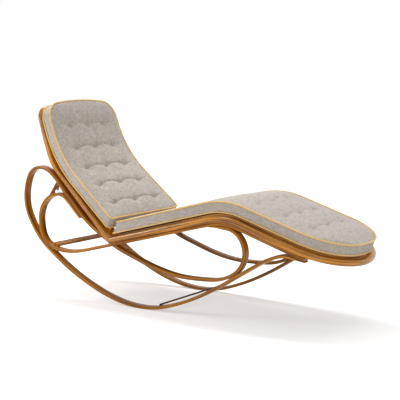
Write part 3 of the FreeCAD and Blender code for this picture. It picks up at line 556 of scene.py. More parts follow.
def seat_frames(start):
    """The seat's frame line on both sides, from a distance past the hinge, and round its tip."""
    t = unit(SEAT_SLOPE)
    rod = Rod(vec(HINGE + t * start, -SEAT_HALF), heading(t), heading(1j * t))
    rod.line(SEAT_LENGTH - KNEE_RUN - start)
    rod.arc(-rod.up, KNEE_R, SEAT_SLOPE + LEG_SLOPE)
    rod.line(LEG_LENGTH - KNEE_RUN - NOSE_DEPTH)
    rod.arc(rod.across, NOSE_R, math.degrees(NOSE_TURN), 8.0)
    return rod.arc(rod.across, TIP_R, 90.0 - math.degrees(NOSE_TURN), 8.0).both()


def close_top(rod, radius):
    """Corner and arch over the head, to the middle plane."""
    corner = math.acos((-rod.p.y / MM - radius) / (BACK_ARCH_R - radius))
    rod.arc(rod.across, radius, math.degrees(corner), 6.0)
    return rod.arc(rod.across, BACK_ARCH_R, 90.0 - math.degrees(corner), 40.0)


def back_rail_frames():
    """The back's outer rail on both sides and over the head, from its tail below the hinge."""
    t = unit(BACK_SLOPE)
    rod = Rod(vec(HINGE - t * TAIL, -SEAT_HALF), heading(t), heading(-1j * t))
    rod.lean(LEAN, -TAIL)
    rod.line((BACK_STRAIGHT + TAIL) / math.cos(math.radians(LEAN)) - TAPER_RUN)
    rod.arc(-rod.across, BACK_TAPER_R, LEAN)
    rod.arc(rod.up, BACK_BEND_R, BACK_BEND)
    rod.arc(rod.up, BACK_TOP_R, math.degrees(BACK_TOP_LENGTH / BACK_TOP_R), 20.0)
    rod.line(BACK_TOP_LINE - BACK_RAIL_CORNER_R)
    return close_top(rod, BACK_RAIL_CORNER_R).both()


def back_ring_frames():
    """The back's inner ring, along the cushion's rear face."""
    t = unit(PAD_SLOPE)
    taper_at = PAD_STRAIGHT - TAPER_RUN * RING_EASE
    lean = math.degrees(math.atan((SEAT_HALF - BACK_TOP_HALF) / taper_at))
    ease = PAD_STRAIGHT - taper_at
    start = CROSS_RAIL + RING_RISE
    rod = Rod(vec(PAD_LINE.at(start)[0], -SEAT_HALF), heading(t), heading(-1j * t))
    rod.lean(lean, start)
    rod.line((taper_at - start) / math.cos(math.radians(lean)) - ease)
    rod.arc(-rod.across, ease / math.tan(math.radians(lean / 2.0)), lean)
    rod.arc(rod.up, PAD_R, PAD_BEND, 12.0)
    rod.line(PAD_TOP - RING_DOWN - BACK_CORNER_R)
    return close_top(rod, BACK_CORNER_R).both()


# Meshes

# Spacing of the places that the grain is measured from, in metres
GRAIN_STEP = 0.006


def rounded(x0, x1, y0, y1, radii, steps=5):
    """Section of a four-sided piece with its own rounding at each corner, in millimetres."""
    out = []
    corners = ((x0, y0, 180.0), (x1, y0, 270.0), (x1, y1, 0.0), (x0, y1, 90.0))
    for (x, y, start), r in zip(corners, radii):
        cx = x + (r if x == x0 else -r)
        cy = y + (r if y == y0 else -r)
        for i in range(steps + 1):
            a = math.radians(start + 90.0 * i / steps)
            out.append((cx + r * math.cos(a), cy + r * math.sin(a)))
    return out


def circle(radius, count):
    turns = [2.0 * math.pi * i / count for i in range(count)]
    return [(radius * math.cos(a), radius * math.sin(a)) for a in turns]


def new_piece(name, mesh):
    piece = bpy.data.objects.new(name, mesh)
    bpy.context.scene.collection.objects.link(piece)
    return piece


def join_rings(bm, rings, closed=False):
    """Faces between rings of vertices that follow each other, capped unless they close."""
    pairs = list(zip(rings[:-1], rings[1:]))
    if closed:
        pairs.append((rings[-1], rings[0]))
    n = len(rings[0])
    for one, two in pairs:
        for i in range(n):
            j = (i + 1) % n
            bm.faces.new((one[i], one[j], two[j], two[i]))
    if not closed:
        bm.faces.new(rings[0])
        bm.faces.new(list(reversed(rings[-1])))


def to_piece(bm, name):
    """A new piece from a bmesh, with its faces turned outwards."""
    bmesh.ops.recalc_face_normals(bm, faces=bm.faces)
    mesh = bpy.data.meshes.new(name)
    bm.to_mesh(mesh)
    bm.free()
    return new_piece(name, mesh)


def swept(name, frames, section, closed=False, thin=None):
    """A section carried along frames. Its ends are capped unless the frames close.

    thin gives the share of the thickness that is left at a distance along the piece.
    """
    bm = bmesh.new()
    rings = []
    foot = min(b for a, b in section)
    for p, across, up, s in frames:
        k = thin(s) if thin else 1.0
        rings.append([bm.verts.new(p + across * (a * MM) + up * ((foot + (b - foot) * k) * MM))
                      for a, b in section])
    join_rings(bm, rings, closed)
    return to_piece(bm, name)


def cut(piece, cutters):
    """Take the cutters out of a piece and delete them."""
    for cutter in cutters:
        mod = piece.modifiers.new("notch", "BOOLEAN")
        mod.object = cutter
        mod.solver = "EXACT"
    bake_modifiers(piece)
    for cutter in cutters:
        bpy.data.objects.remove(cutter)


def bake_modifiers(piece):
    graph = bpy.context.evaluated_depsgraph_get()
    mesh = bpy.data.meshes.new_from_object(piece.evaluated_get(graph))
    piece.modifiers.clear()
    piece.data = mesh


def keep_beyond(piece, point, normal):
    """Saw a piece off at a plane and close the sawn ends."""
    bm = bmesh.new()
    bm.from_mesh(piece.data)
    geometry = bm.verts[:] + bm.edges[:] + bm.faces[:]
    found = bmesh.ops.bisect_plane(bm, geom=geometry, plane_co=point, plane_no=normal,
                                   clear_inner=True)
    edges = [e for e in found["geom_cut"] if isinstance(e, bmesh.types.BMEdge)]
    bmesh.ops.contextual_create(bm, geom=edges)
    bmesh.ops.holes_fill(bm, edges=[e for e in bm.edges if e.is_boundary], sides=0)
    bmesh.ops.recalc_face_normals(bm, faces=bm.faces)
    bm.to_mesh(piece.data)
    bm.free()


def lay_grain(piece, frames, centre, in_side_view):
    """Store distance along, across and up the piece at each vertex: grain follows the bend."""
    flat = Vector((1.0, 0.0, 1.0)) if in_side_view else Vector((1.0, 1.0, 1.0))
    dense = []
    for (p0, a0, u0, s0), (p1, a1, u1, s1) in zip(frames[:-1], frames[1:]):
        n = max(1, int((p1 - p0).length / GRAIN_STEP))
        for i in range(n):
            f = i / n
            dense.append((p0.lerp(p1, f), a0.lerp(a1, f).normalized(), u0.lerp(u1, f).normalized(),
                          s0 + (s1 - s0) * f))
    dense.append(frames[-1])
    tree = KDTree(len(dense))
    for i, (p, a, u, s) in enumerate(dense):
        tree.insert((p + a * centre[0] * MM + u * centre[1] * MM) * flat, i)
    tree.balance()
    mesh = piece.data
    grain = mesh.attributes.new("grain", "FLOAT_VECTOR", "POINT")
    for v in mesh.vertices:
        p, a, u, s = dense[tree.find(v.co * flat)[1]]
        d = v.co - p
        along = s + d.dot(a.cross(u)) if in_side_view else s
        grain.data[v.index].vector = (along, d.dot(a), d.dot(u))


def finish(piece, name, material, body, nodes=(), angle=35.0):
    """Material, smooth shading, body and the CAD nodes that the piece stands for."""
    piece.name = name
    piece.data.name = name
    piece.data.materials.clear()
    piece.data.materials.append(material)
    piece.data.shade_smooth()
    piece.data.set_sharp_from_angle(angle=math.radians(angle))
    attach(piece, body)
    for node in nodes:
        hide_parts(node)
    return piece


def colour_nodes(material, names):
    """Give a material to CAD nodes that are shown as they are."""
    for name in names:
        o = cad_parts[name]
        o.data.materials.clear()
        o.data.materials.append(material)


# Materials


def node(tree, kind, links=(), stops=(), **settings):
    """One shader node with its settings, its inputs linked from (input, node, output), and the
    stops of its colour ramp where it has one."""
    made = tree.nodes.new("ShaderNode" + kind)
    for key, value in settings.items():
        if key.startswith("in_"):
            made.inputs[int(key[3:])].default_value = value
        else:
            setattr(made, key, value)
    for socket, source, output in links:
        tree.links.new(source.outputs[output], made.inputs[socket])
    if stops:
        elements = made.color_ramp.elements
        while len(elements) < len(stops):
            elements.new(0.5)
        for element, (place, colour) in zip(elements, stops):
            element.position = place
            element.color = tuple(colour) + (1.0,)
    return made


def wire(tree, surface, links, values):
    """Link a surface's inputs from (input, node, output), and set others from (input, value)."""
    for socket, source, output in links:
        tree.links.new(source.outputs[output], surface.inputs[socket])
    for socket, value in values:
        surface.inputs[socket].default_value = value


def blank(name):
    material = bpy.data.materials.new(name)
    material.use_nodes = True
    tree = material.node_tree
    return material, tree, tree.nodes["Principled BSDF"]


def seen_only(tree):
    """1 for rays of the camera, mirrors and glass, and 0 for the rays that light things."""
    ray = node(tree, "LightPath")
    seen = node(tree, "Math", [(0, ray, "Is Camera Ray"), (1, ray, "Is Glossy Ray")],
                operation="MAXIMUM")
    return node(tree, "Math", [(0, seen, 0), (1, ray, "Is Transmission Ray")], operation="MAXIMUM")


def shade(colour, factor):
    return tuple(c * factor for c in colour)


def lacquered_wood(name, light, dark, coat, along=None):
    """Steam-bent beech, stained amber and lacquered: long soft streaks along the bend under a
    clear coat that catches narrow highlights. The real streaks are 1 to 3 mm wide. They are
    drawn 9 mm wide and 300 mm long, and the pores 1.2 mm wide, so that they show."""
    material, tree, surface = blank(name)
    if along is None:
        place = node(tree, "Attribute", attribute_name="grain", attribute_type="GEOMETRY")
        output, along = "Vector", 0
    else:
        place, output = node(tree, "TexCoord"), "Object"

    def grown(length_mm, width_mm, detail, roughness):
        scale = [1000.0 / width_mm] * 3
        scale[along] = 1000.0 / length_mm
        laid = node(tree, "Mapping", [("Vector", place, output)], in_3=scale)
        return node(tree, "TexNoise", [("Vector", laid, "Vector")],
                    in_2=1.0, in_3=detail, in_4=roughness)

    streak = grown(300.0, 9.0, 4.0, 0.6)
    cloud = grown(420.0, 60.0, 2.0, 0.5)
    pore = grown(26.0, 1.2, 2.0, 0.5)
    white = (1.0, 1.0, 1.0)
    middle = tuple((a + b) / 2.0 for a, b in zip(light, dark))
    tone = node(tree, "ValToRGB", [("Fac", streak, "Fac")],
                [(0.36, dark), (0.47, middle), (0.58, light), (0.80, shade(light, 1.2))])
    depth = node(tree, "ValToRGB", [("Fac", cloud, "Fac")],
                 [(0.30, (0.62, 0.55, 0.48)), (0.62, white)])
    fine = node(tree, "ValToRGB", [("Fac", pore, "Fac")],
                [(0.36, (0.72, 0.66, 0.60)), (0.46, white)])
    clouded = node(tree, "Mix", [(6, tone, "Color"), (7, depth, "Color")],
                   data_type="RGBA", blend_type="MULTIPLY", in_0=0.9)
    pored = node(tree, "Mix", [(6, clouded, 2), (7, fine, "Color")],
                 data_type="RGBA", blend_type="MULTIPLY", in_0=0.55)
    rough = node(tree, "MapRange", [(0, streak, "Fac")], in_1=0.3, in_2=0.8, in_3=0.42, in_4=0.30)
    bump = node(tree, "Bump", [("Height", pore, "Fac")], in_0=0.12, in_1=0.0004)
    wire(tree, surface, [("Base Color", pored, 2), ("Roughness", rough, 0), ("Normal", bump, 0)],
         [("IOR", 1.5), ("Specular IOR Level", 0.05), ("Coat Weight", coat),
          ("Coat Roughness", 0.09)])
    return material


def rib_scale(mm):
    """Scale of a wave texture whose bands lie this many millimetres apart."""
    return math.pi / (10.0 * mm * MM)


def heather_cloth(name, light, dark):
    """Heavy flat-woven cloth of mixed wool yarns: matt, with a soft nap at grazing angles. The
    real yarns lie about 1.5 mm apart. They are drawn as slubs 3.5 mm wide and ribs 6 mm apart,
    so that they show."""
    material, tree, surface = blank(name)
    place = node(tree, "Attribute", attribute_name="laid_flat", attribute_type="GEOMETRY")
    slubs = []
    ribs = []
    for along in (0, 1):
        scale = [1000.0 / 3.5] * 3
        scale[along] = 1000.0 / 22.0
        turned = node(tree, "Mapping", [("Vector", place, "Vector")], in_3=scale)
        slubs.append(node(tree, "TexNoise", [("Vector", turned, "Vector")],
                          in_2=1.0, in_3=3.0, in_4=0.6))
        ribs.append(node(tree, "TexWave", [("Vector", place, "Vector")],
                         bands_direction="XY"[along], in_1=rib_scale(5.922), in_2=1.5))
    both = node(tree, "Math", [(0, slubs[0], "Fac"), (1, slubs[1], "Fac")], operation="ADD")
    half = node(tree, "Math", [(0, both, 0)], operation="MULTIPLY", in_1=0.5)
    tone = node(tree, "ValToRGB", [("Fac", half, 0)], [(0.40, dark), (0.60, light)])
    grid = node(tree, "Math", [(0, ribs[0], "Fac"), (1, ribs[1], "Fac")], operation="MULTIPLY")
    relief = node(tree, "Math", [(0, grid, 0), (1, half, 0)], operation="ADD")
    bump = node(tree, "Bump", [("Height", relief, 0)], in_0=0.35, in_1=0.0006)
    wire(tree, surface, [("Base Color", tone, "Color"), ("Normal", bump, 0)],
         [("Roughness", 0.92), ("Specular IOR Level", 0.25), ("Sheen Weight", 0.25),
          ("Sheen Roughness", 0.5)])
    return material


def covered_cord(name, colour):
    """Piping of bias-cut cotton over a cord: matt, with a faint mottle. Its threads are too fine
    to show, so the mottle is drawn 4 mm across."""
    material, tree, surface = blank(name)
    place = node(tree, "Attribute", attribute_name="grain", attribute_type="GEOMETRY")
    turned = node(tree, "Mapping", [("Vector", place, "Vector")], in_3=[1000.0 / 4.0] * 3)
    speck = node(tree, "TexNoise", [("Vector", turned, "Vector")], in_2=1.0, in_3=2.0)
    tone = node(tree, "ValToRGB", [("Fac", speck, "Fac")],
                [(0.35, shade(colour, 0.9)), (0.6, colour)])
    bump = node(tree, "Bump", [("Height", speck, "Fac")], in_0=0.3, in_1=0.0004)
    wire(tree, surface, [("Base Color", tone, "Color"), ("Normal", bump, 0)],
         [("Roughness", 0.8), ("Sheen Weight", 0.2)])
    return material


def woven_strap(name, colour):
    """Polypropylene upholstery webbing, woven: ribs across the strap with a dull shine. The real
    ribs are 4 mm apart. They are drawn 8 mm apart, so that they show."""
    material, tree, surface = blank(name)
    place = node(tree, "TexCoord")
    ribs = node(tree, "TexWave", [("Vector", place, "Object")], bands_direction="Y",
                in_1=rib_scale(7.896), in_2=0.5)
    tone = node(tree, "ValToRGB", [("Fac", ribs, "Fac")],
                [(0.2, shade(colour, 0.6)), (0.8, shade(colour, 1.5))])
    bump = node(tree, "Bump", [("Height", ribs, "Fac")], in_0=0.4, in_1=0.0006)
    wire(tree, surface, [("Base Color", tone, "Color"), ("Normal", bump, 0)],
         [("Roughness", 0.6)])
    return material


def aged_brass(name, colour):
    """Rolled brass, brushed and a little dulled: warm metal with faint brush lines, drawn 0.8 mm
    wide, which is coarser than they are."""
    material, tree, surface = blank(name)
    place = node(tree, "TexCoord")
    brushed = node(tree, "Mapping", [("Vector", place, "Object")], in_3=(1200.0, 60.0, 1200.0))
    lines = node(tree, "TexNoise", [("Vector", brushed, "Vector")], in_2=1.0, in_3=3.0)
    tone = node(tree, "ValToRGB", [("Fac", lines, "Fac")],
                [(0.3, shade(colour, 0.7)), (0.7, colour)])
    rough = node(tree, "MapRange", [(0, lines, "Fac")], in_1=0.2, in_2=0.8, in_3=0.28, in_4=0.45)
    wire(tree, surface, [("Base Color", tone, "Color"), ("Roughness", rough, 0)],
         [("Metallic", 1.0)])
    return material


def materials(kind):
    """Each material is made once and kept by its name."""
    made = bpy.data.materials.get(kind)
    if made:
        return made
    c = bpy.context.scene.chaise_colours
    # Wood drawn near-black, far darker than the strips, for the bottom tie rod
    near_black_tones = (shade(c.strip_dark, 0.35), shade(c.strip_dark, 0.15))
    maker, args = {
        "lacquered_bent_rail": (lacquered_wood, (c.rail_light, c.rail_dark, 0.9)),
        "lacquered_bent_strip": (lacquered_wood, (c.strip_light, c.strip_dark, 0.4)),
        "lacquered_cross_rail": (lacquered_wood, (c.rail_light, c.rail_dark, 0.6, 1)),
        "satin_dowel": (lacquered_wood, (c.strip_light, c.strip_dark, 0.3, 1)),
        "dark_stained_dowel": (lacquered_wood, near_black_tones + (0.2, 1)),
        "satin_rack": (lacquered_wood, (shade(c.strip_light, 0.75), c.strip_dark, 0.3, 2)),
        "heather_cushion_cloth": (heather_cloth, (c.cloth_light, c.cloth_dark)),
        "bias_cotton_piping": (covered_cord, (c.piping,)),
        "woven_strap_webbing": (woven_strap, (c.webbing,)),
        "aged_rolled_brass": (aged_brass, (c.brass,)),
    }[kind]
    return maker(kind, *args)


# Cushions


def outline(start, half_at, tip):
    """A cushion's closed seam line as (s, y): over the rounded corner of its lower end, up its
    side, round its tip, given from the straight side to the middle plane, and back mirrored."""
    points = [(start, y) for y in (0.0, 60.0, 120.0, 180.0)]
    first = start + PAD_CORNER
    half = half_at(first)
    for i in range(7):
        a = math.radians(90.0 * i / 6.0)
        points.append((start + PAD_CORNER * (1.0 - math.cos(a)),
                       half - PAD_CORNER * (1.0 - math.sin(a))))
    for i in range(1, 24):
        s = first + (tip[0][0] - first) * i / 24.0
        points.append((s, half_at(s)))
    points += tip
    return points + [(s, -y) for s, y in reversed(points) if abs(y) > 0.01]


def spaced(points, step):
    """The closed outline again with even spacing."""
    total = 0.0
    marks = [0.0]
    ring = points + [points[0]]
    for (a, b), (c, d) in zip(ring[:-1], ring[1:]):
        total += math.hypot(c - a, d - b)
        marks.append(total)
    n = int(total / step)
    out = []
    k = 0
    for i in range(n):
        target = total * i / n
        while marks[k + 1] < target:
            k += 1
        f = (target - marks[k]) / max(1e-9, marks[k + 1] - marks[k])
        out.append((ring[k][0] + (ring[k + 1][0] - ring[k][0]) * f,
                    ring[k][1] + (ring[k + 1][1] - ring[k][1]) * f))
    return out


class Pad:
    """A boxed cushion, worked out lying flat as (s, y, n) and then laid along its side line."""

    def __init__(self, line, face, base, height, starts, half_at, tip, crown, rows, spread,
                 tuft, fold):
        self.line = line
        self.face = face
        self.base = base
        self.height = height
        self.starts = starts
        self.half_at = half_at
        self.tip = tip
        self.length = tip[-1][0]
        self.crown = crown
        self.rows = rows
        self.spread = spread
        self.tuft = tuft
        self.fold = fold

    def seam(self, n):
        """Closed seam line at the height n over the underside."""
        low, high = self.starts
        return outline(low + (high - low) * n / self.height, self.half_at, self.tip)

    def place(self, s, y, n):
        p, t = self.line.at(s)
        return vec(p + 1j * t * self.face * (self.base + n), y)

    def seam_frames(self, n):
        """Frames for the piping: a closed ring that stands a little out of the seam."""
        ring = spaced(self.seam(n), PIPING_STEP)
        count = len(ring)
        centres = []
        for i, (s, y) in enumerate(ring):
            (s0, y0), (s1, y1) = ring[i - 1], ring[(i + 1) % count]
            ds, dy = s1 - s0, y1 - y0
            size = math.hypot(ds, dy)
            centres.append(self.place(s - dy / size * PIPING_OUT, y + ds / size * PIPING_OUT, n))
        frames = []
        total = 0.0
        for i, p in enumerate(centres):
            t = (centres[(i + 1) % count] - centres[i - 1]).normalized()
            normal = self.place(*ring[i], n + 10.0) - self.place(*ring[i], n)
            up = (normal - t * normal.dot(t)).normalized()
            frames.append((p, up.cross(t), up, total))
            total += (centres[(i + 1) % count] - p).length
        return frames

    def near_rows(self, s):
        """The rows of tufts close to s, each with the distance of its outer tufts."""
        first, last = self.rows[0], self.rows[-1]
        near, far = self.spread
        for row in self.rows:
            if abs(s - row) <= TUFT_REACH:
                yield row, near + (far - near) * (row - first) / (last - first)

    def dip(self, s, y):
        """How far the face is pulled in at a place by the tufts, from 0 to 1."""
        best = 0.0
        for row, outer in self.near_rows(s):
            side = min(abs(y), abs(abs(y) - outer))
            best = max(best, math.exp(-((s - row) ** 2 + side ** 2) / TUFT_R ** 2))
        return best

    def crease(self, s, y):
        """The pulled fold that runs from tuft to tuft and bows between them."""
        deep = 0.0
        for row, outer in self.near_rows(s):
            beyond = max(0.0, abs(y) - outer) / FOLD_RUN
            if beyond >= 1.0:
                continue
            bow = beyond ** 2 if beyond else math.sin(math.pi * abs(y) / outer)
            d = s - row + FOLD_BOW * bow * self.face
            deep += (1.0 - beyond) * (math.exp(-(d / FOLD_NARROW) ** 2)
                                      + 0.45 * math.exp(-(d / FOLD_WIDE) ** 2))
        return deep


def sewn_pad(name, pad, sizes):
    """The cushion's mesh: boxed blank, cloth cells, tufts, filling, folds and the frame's bend."""
    bm = bmesh.new()
    rings = [[bm.verts.new((s * MM, y * MM, n * MM)) for s, y in pad.seam(n)]
             for n in (0.0, pad.height)]
    join_rings(bm, rings)
    piece = to_piece(bm, name)
    remesh = piece.modifiers.new("cells", "REMESH")
    remesh.mode = "VOXEL"
    remesh.voxel_size = sizes.voxel
    bake_modifiers(piece)
    shape_pad(piece, pad, sizes.voxel / MM)
    fill_pad(piece, sizes)
    smooth = piece.modifiers.new("round", "SUBSURF")
    smooth.levels = 1
    smooth.render_levels = 1
    bake_modifiers(piece)

    mesh = piece.data
    laid = mesh.attributes.new("laid_flat", "FLOAT_VECTOR", "POINT")
    for v in mesh.vertices:
        laid.data[v.index].vector = v.co
        if v.co.z > FACE_SHARE * pad.height * MM:
            v.co.z -= pad.crease(v.co.x / MM, v.co.y / MM) * pad.fold * MM
        v.co = pad.place(v.co.x / MM, v.co.y / MM, v.co.z / MM)
    return piece


def shape_pad(piece, pad, edge):
    """Crown and dimple the face, and mark what is sewn down while the filling swells: the
    underside, the seams and the tufts."""
    hold = piece.vertex_groups.new(name="sewn")
    for v in piece.data.vertices:
        s, y, h = v.co.x / MM, v.co.y / MM, v.co.z / MM
        f = max(0.0, min(1.0, h / pad.height))
        half = pad.half_at(min(s, pad.length))
        across = max(0.0, 1.0 - (abs(y) / half) ** CROWN_POWER)
        ends = min(1.0, max(0.0, (s - pad.starts[1]) / CROWN_RUN),
                   max(0.0, (pad.length - s) / CROWN_RUN))
        pull = pad.dip(s, y)
        rise = pad.crown * across * math.sqrt(ends) - pad.tuft * pull
        weight = 0.0
        if h > pad.height - edge:
            v.co.z += rise * MM
            weight = min(1.0, pull * 1.6) if pull > TUFT_HELD else 0.0
        elif h > edge:
            v.co.z += rise * f * MM
        else:
            weight = 1.0
        by_seam = abs(f - 0.5) > 0.5 - 0.9 * edge / pad.height
        if by_seam and (across < SEAM_ACROSS or ends < SEAM_ENDS):
            weight = 1.0
        if weight > 0.0:
            hold.add([v.index], weight, "REPLACE")


def fill_pad(piece, sizes):
    """Swell the cover with cloth under pressure, capped so that it keeps its shape."""
    before = [v.co.copy() for v in piece.data.vertices]
    cloth = piece.modifiers.new("filling", "CLOTH")
    s = cloth.settings
    s.quality = 5
    s.mass = 0.3
    s.tension_stiffness = 12.0
    s.compression_stiffness = 8.0
    s.shear_stiffness = 4.0
    s.bending_stiffness = 0.4
    s.use_pressure = True
    s.uniform_pressure_force = sizes.pressure
    s.vertex_group_mass = "sewn"
    s.effector_weights.gravity = 0.0
    cloth.collision_settings.use_collision = False
    cloth.collision_settings.use_self_collision = False
    scene = bpy.context.scene
    for i in range(1, FILL_FRAMES + 1):
        scene.frame_set(i)
    swollen = piece.evaluated_get(bpy.context.evaluated_depsgraph_get()).data
    after = [v.co.copy() for v in swollen.vertices]
    piece.modifiers.remove(cloth)
    for v, a, b in zip(piece.data.vertices, before, after):
        d = b - a
        if d.length > FILL_MOST:
            d = d * (FILL_MOST / d.length)
        v.co = a + d
    scene.frame_set(1)


def seat_pad(sizes):
    """The seat cushion, which follows the seat over the knee and ends in a broad round tip."""
    near, far = SEAT_PAD_WIDTHS
    straight = SEAT_LINE.length - SEAT_PAD_SHORT - SEAT_TIP_DEPTH
    power = 2.0 / SEAT_TIP_POWER
    tip = []
    for k in range(25):
        a = math.radians(90.0 * k / 24.0)
        tip.append((straight + SEAT_TIP_DEPTH * math.sin(a) ** power,
                    SEAT_TIP_HALF * math.cos(a) ** power))

    def half_at(s):
        return (near + (far - near) * min(1.0, s / SEAT_LENGTH)) / 2.0

    return Pad(SEAT_LINE, 1.0, RING_LIFT + SEAT_PAD_LIFT, sizes.seat_thickness / MM,
               SEAT_PAD_STARTS, half_at, tip, sizes.crown / MM * SEAT_CROWN_SHARE,
               SEAT_TUFT_ROWS, SEAT_TUFT_SPREAD, sizes.tuft_depth / MM * SEAT_TUFT_SHARE,
               SEAT_FOLD)


def back_pad(sizes):
    """The back cushion, with rounded corners and a slight arch at its head."""
    near, far = BACK_PAD_WIDTHS

    def half_at(s):
        return (near + (far - near) * s / PAD_LINE.length) / 2.0

    top = PAD_LINE.length - BACK_PAD_ARCH
    half = half_at(top - BACK_PAD_CORNER)
    tip = []
    for k in range(13):
        a = math.radians(84.0 * k / 12.0)
        tip.append((top - BACK_PAD_CORNER * (1.0 - math.sin(a)),
                    half - BACK_PAD_CORNER * (1.0 - math.cos(a))))
    s1, y1 = tip[-1]
    for f in (0.75, 0.5, 0.25, 0.0):
        tip.append((s1 + (PAD_LINE.length - s1) * (1.0 - f * f), y1 * f))
    return Pad(PAD_LINE, -1.0, 0.0, sizes.back_thickness / MM, BACK_PAD_STARTS, half_at, tip,
               sizes.crown / MM, BACK_TUFT_ROWS, BACK_TUFT_SPREAD, sizes.tuft_depth / MM,
               BACK_FOLD)


# Operators, one for each piece or group of like pieces


def thin_ends(length):
    """Share of a strip's thickness left at a distance along it, thinned at both ends."""
    def share(s):
        return min(1.0, THINNEST + (1.0 - THINNEST) * min(s, length - s) / (THIN_END * MM))
    return share


class CHAISE_OT_strips(bpy.types.Operator):
    """Bend the runner strips and inner strips and half-lap them where they cross"""
    bl_idname = "chaise.strips"
    bl_label = "Bent strips"

    def execute(self, context):
        runner, inner, crossing, passing = strip_lines()
        t = STRIP_T / 2.0
        w = STRIP_W / 2.0
        section = rounded(-w, w, -t, t, (STRIP_ROUND,) * 4, 3)
        for side, sign in SIDES:
            y = sign * (BASE_HALF - w)
            for kind, line, other, away in (
                    ("runner", runner, passing, sign), ("inner", inner, crossing, -sign)):
                frames = flat_frames(line, y)
                thin = thin_ends(frames[-1][3]) if kind == "runner" else None
                piece = swept("%s_%s" % (side, kind), frames, section, thin=thin)
                ends = sorted((-away * w / 2.0, away * (w / 2.0 + LAP_OVER)))
                lap = [(ends[0], -t - LAP_ROOM), (ends[1], -t - LAP_ROOM),
                       (ends[1], t + LAP_ROOM), (ends[0], t + LAP_ROOM)]
                cut(piece, [swept("lap", flat_frames(other, y + away * w / 2.0), lap)])
                lay_grain(piece, frames, (0.0, 0.0), True)
                finish(piece, "%s_bent_%s_strip" % (side, kind), materials("lacquered_bent_strip"),
                       "base", ["%s_%s_strip" % (side, kind)])
        return {"FINISHED"}


def notch_cutters(crossing, angles):
    """Blocks that clear the runner strips out of a rail, with the rail turned to each angle."""
    d = STRIP_T / 2.0 + NOTCH_GAP
    w = STRIP_W / 2.0 + NOTCH_GAP
    out = []
    for angle in angles:
        turn = Matrix.Rotation(math.radians(angle), 4, "Y")
        about = Matrix.Translation(vec(HINGE, 0.0)) @ turn @ Matrix.Translation(-vec(HINGE, 0.0))
        for _, sign in SIDES:
            y = sign * (BASE_HALF - STRIP_W / 2.0)
            block = swept("notch", flat_frames(crossing, y), [(-w, -d), (w, -d), (w, d), (-w, d)])
            block.data.transform(about)
            out.append(block)
    return out


class CHAISE_OT_rails(bpy.types.Operator):
    """Bend the outer rails of seat and back, mitre them and notch them for the strips"""
    bl_idname = "chaise.rails"
    bl_label = "Outer rails"

    def execute(self, context):
        crossing = strip_lines()[2]
        mitre = unit((SEAT_SLOPE + BACK_SLOPE) / 2.0 - 180.0)
        normal = heading(1j * mitre)
        for name, frames, height, sign, body, angles in (
                ("seat", seat_frames(-TAIL), SEAT_RAIL_H, 1.0, "base", [0.0]),
                ("back", back_rail_frames(), BACK_RAIL_H, -1.0, "back",
                 [-BACK_TRAVEL * i / NOTCH_CUTS for i in range(NOTCH_CUTS + 1)])):
            section = rounded(0.0, RAIL_W, -height, 0.0,
                              (RAIL_ROUND, SMALL_ROUND, SMALL_ROUND, RAIL_ROUND), 6)
            piece = swept(name, frames, section)
            keep_beyond(piece, vec(HINGE, 0.0) + normal * (sign * MITRE_GAP * MM), normal * sign)
            cut(piece, notch_cutters(crossing, angles))
            lay_grain(piece, frames, (RAIL_W / 2.0, -height / 2.0), False)
            finish(piece, name + "_bent_outer_rail", materials("lacquered_bent_rail"), body,
                   [name + "_outer_rail"])
        colour_nodes(materials("lacquered_cross_rail"), ("seat_rear_rail", "back_lower_rail"))
        return {"FINISHED"}


class CHAISE_OT_rings(bpy.types.Operator):
    """Bend the inner rings that carry the webbing"""
    bl_idname = "chaise.rings"
    bl_label = "Inner rings"

    def execute(self, context):
        seat, back = seat_frames(CROSS_RAIL + RING_GAP), back_ring_frames()
        for name, frames, inset, top, body in (
                ("seat", seat, RING_INSET, RING_LIFT, "base"),
                ("back", back, BACK_RING_INSET, -RING_BEHIND, "back")):
            section = rounded(inset, inset + RING_W, top - RING_H, top, (STRIP_ROUND,) * 4, 3)
            piece = swept(name, frames, section)
            lay_grain(piece, frames, (inset + RING_W / 2.0, top - RING_H / 2.0), False)
            finish(piece, name + "_bent_inner_ring", materials("lacquered_bent_rail"), body,
                   [name + "_inner_ring"])
        return {"FINISHED"}


class CHAISE_OT_webbing(bpy.types.Operator):
    """Stretch the webbing straps over the inner rings"""
    bl_idname = "chaise.webbing"
    bl_label = "Webbing"

    def execute(self, context):
        for name, line, face, base, last, half_at, body in (
                ("seat", SEAT_LINE, 1.0, RING_LIFT, SEAT_LINE.length - SEAT_STRAPS_SHORT,
                 seat_strap_half, "base"),
                ("back", PAD_LINE, -1.0, -RING_BEHIND, PAD_LINE.length - BACK_STRAPS_SHORT,
                 back_strap_half, "back")):
            bm = bmesh.new()
            s = STRAP_START
            while s + STRAP_W < last:
                add_strap(bm, line, face, base, s, min(half_at(s), half_at(s + STRAP_W)))
                s += STRAP_PITCH
            finish(to_piece(bm, name), name + "_woven_webbing", materials("woven_strap_webbing"),
                   body, [name + "_webbing"])
        return {"FINISHED"}


def seat_strap_half(s):
    """Half the length of a seat strap that is tacked to the ring at s."""
    u = s - (SEAT_LINE.length - NOSE_DEPTH)
    half = SEAT_HALF
    if u > NOSE_R * math.sin(NOSE_TURN):
        half = math.sqrt(max(0.0, TIP_R ** 2 - (u - NOSE_DEPTH + TIP_R) ** 2))
    elif u > 0.0:
        half = SEAT_HALF - NOSE_R + math.sqrt(NOSE_R ** 2 - u ** 2)
    return half - STRAP_INSET


def back_strap_half(s):
    """Half the length of a back strap that is tacked to the ring at s."""
    return SEAT_HALF - (SEAT_HALF - BACK_TOP_HALF) * min(1.0, s / BACK_STRAIGHT) - STRAP_INSET


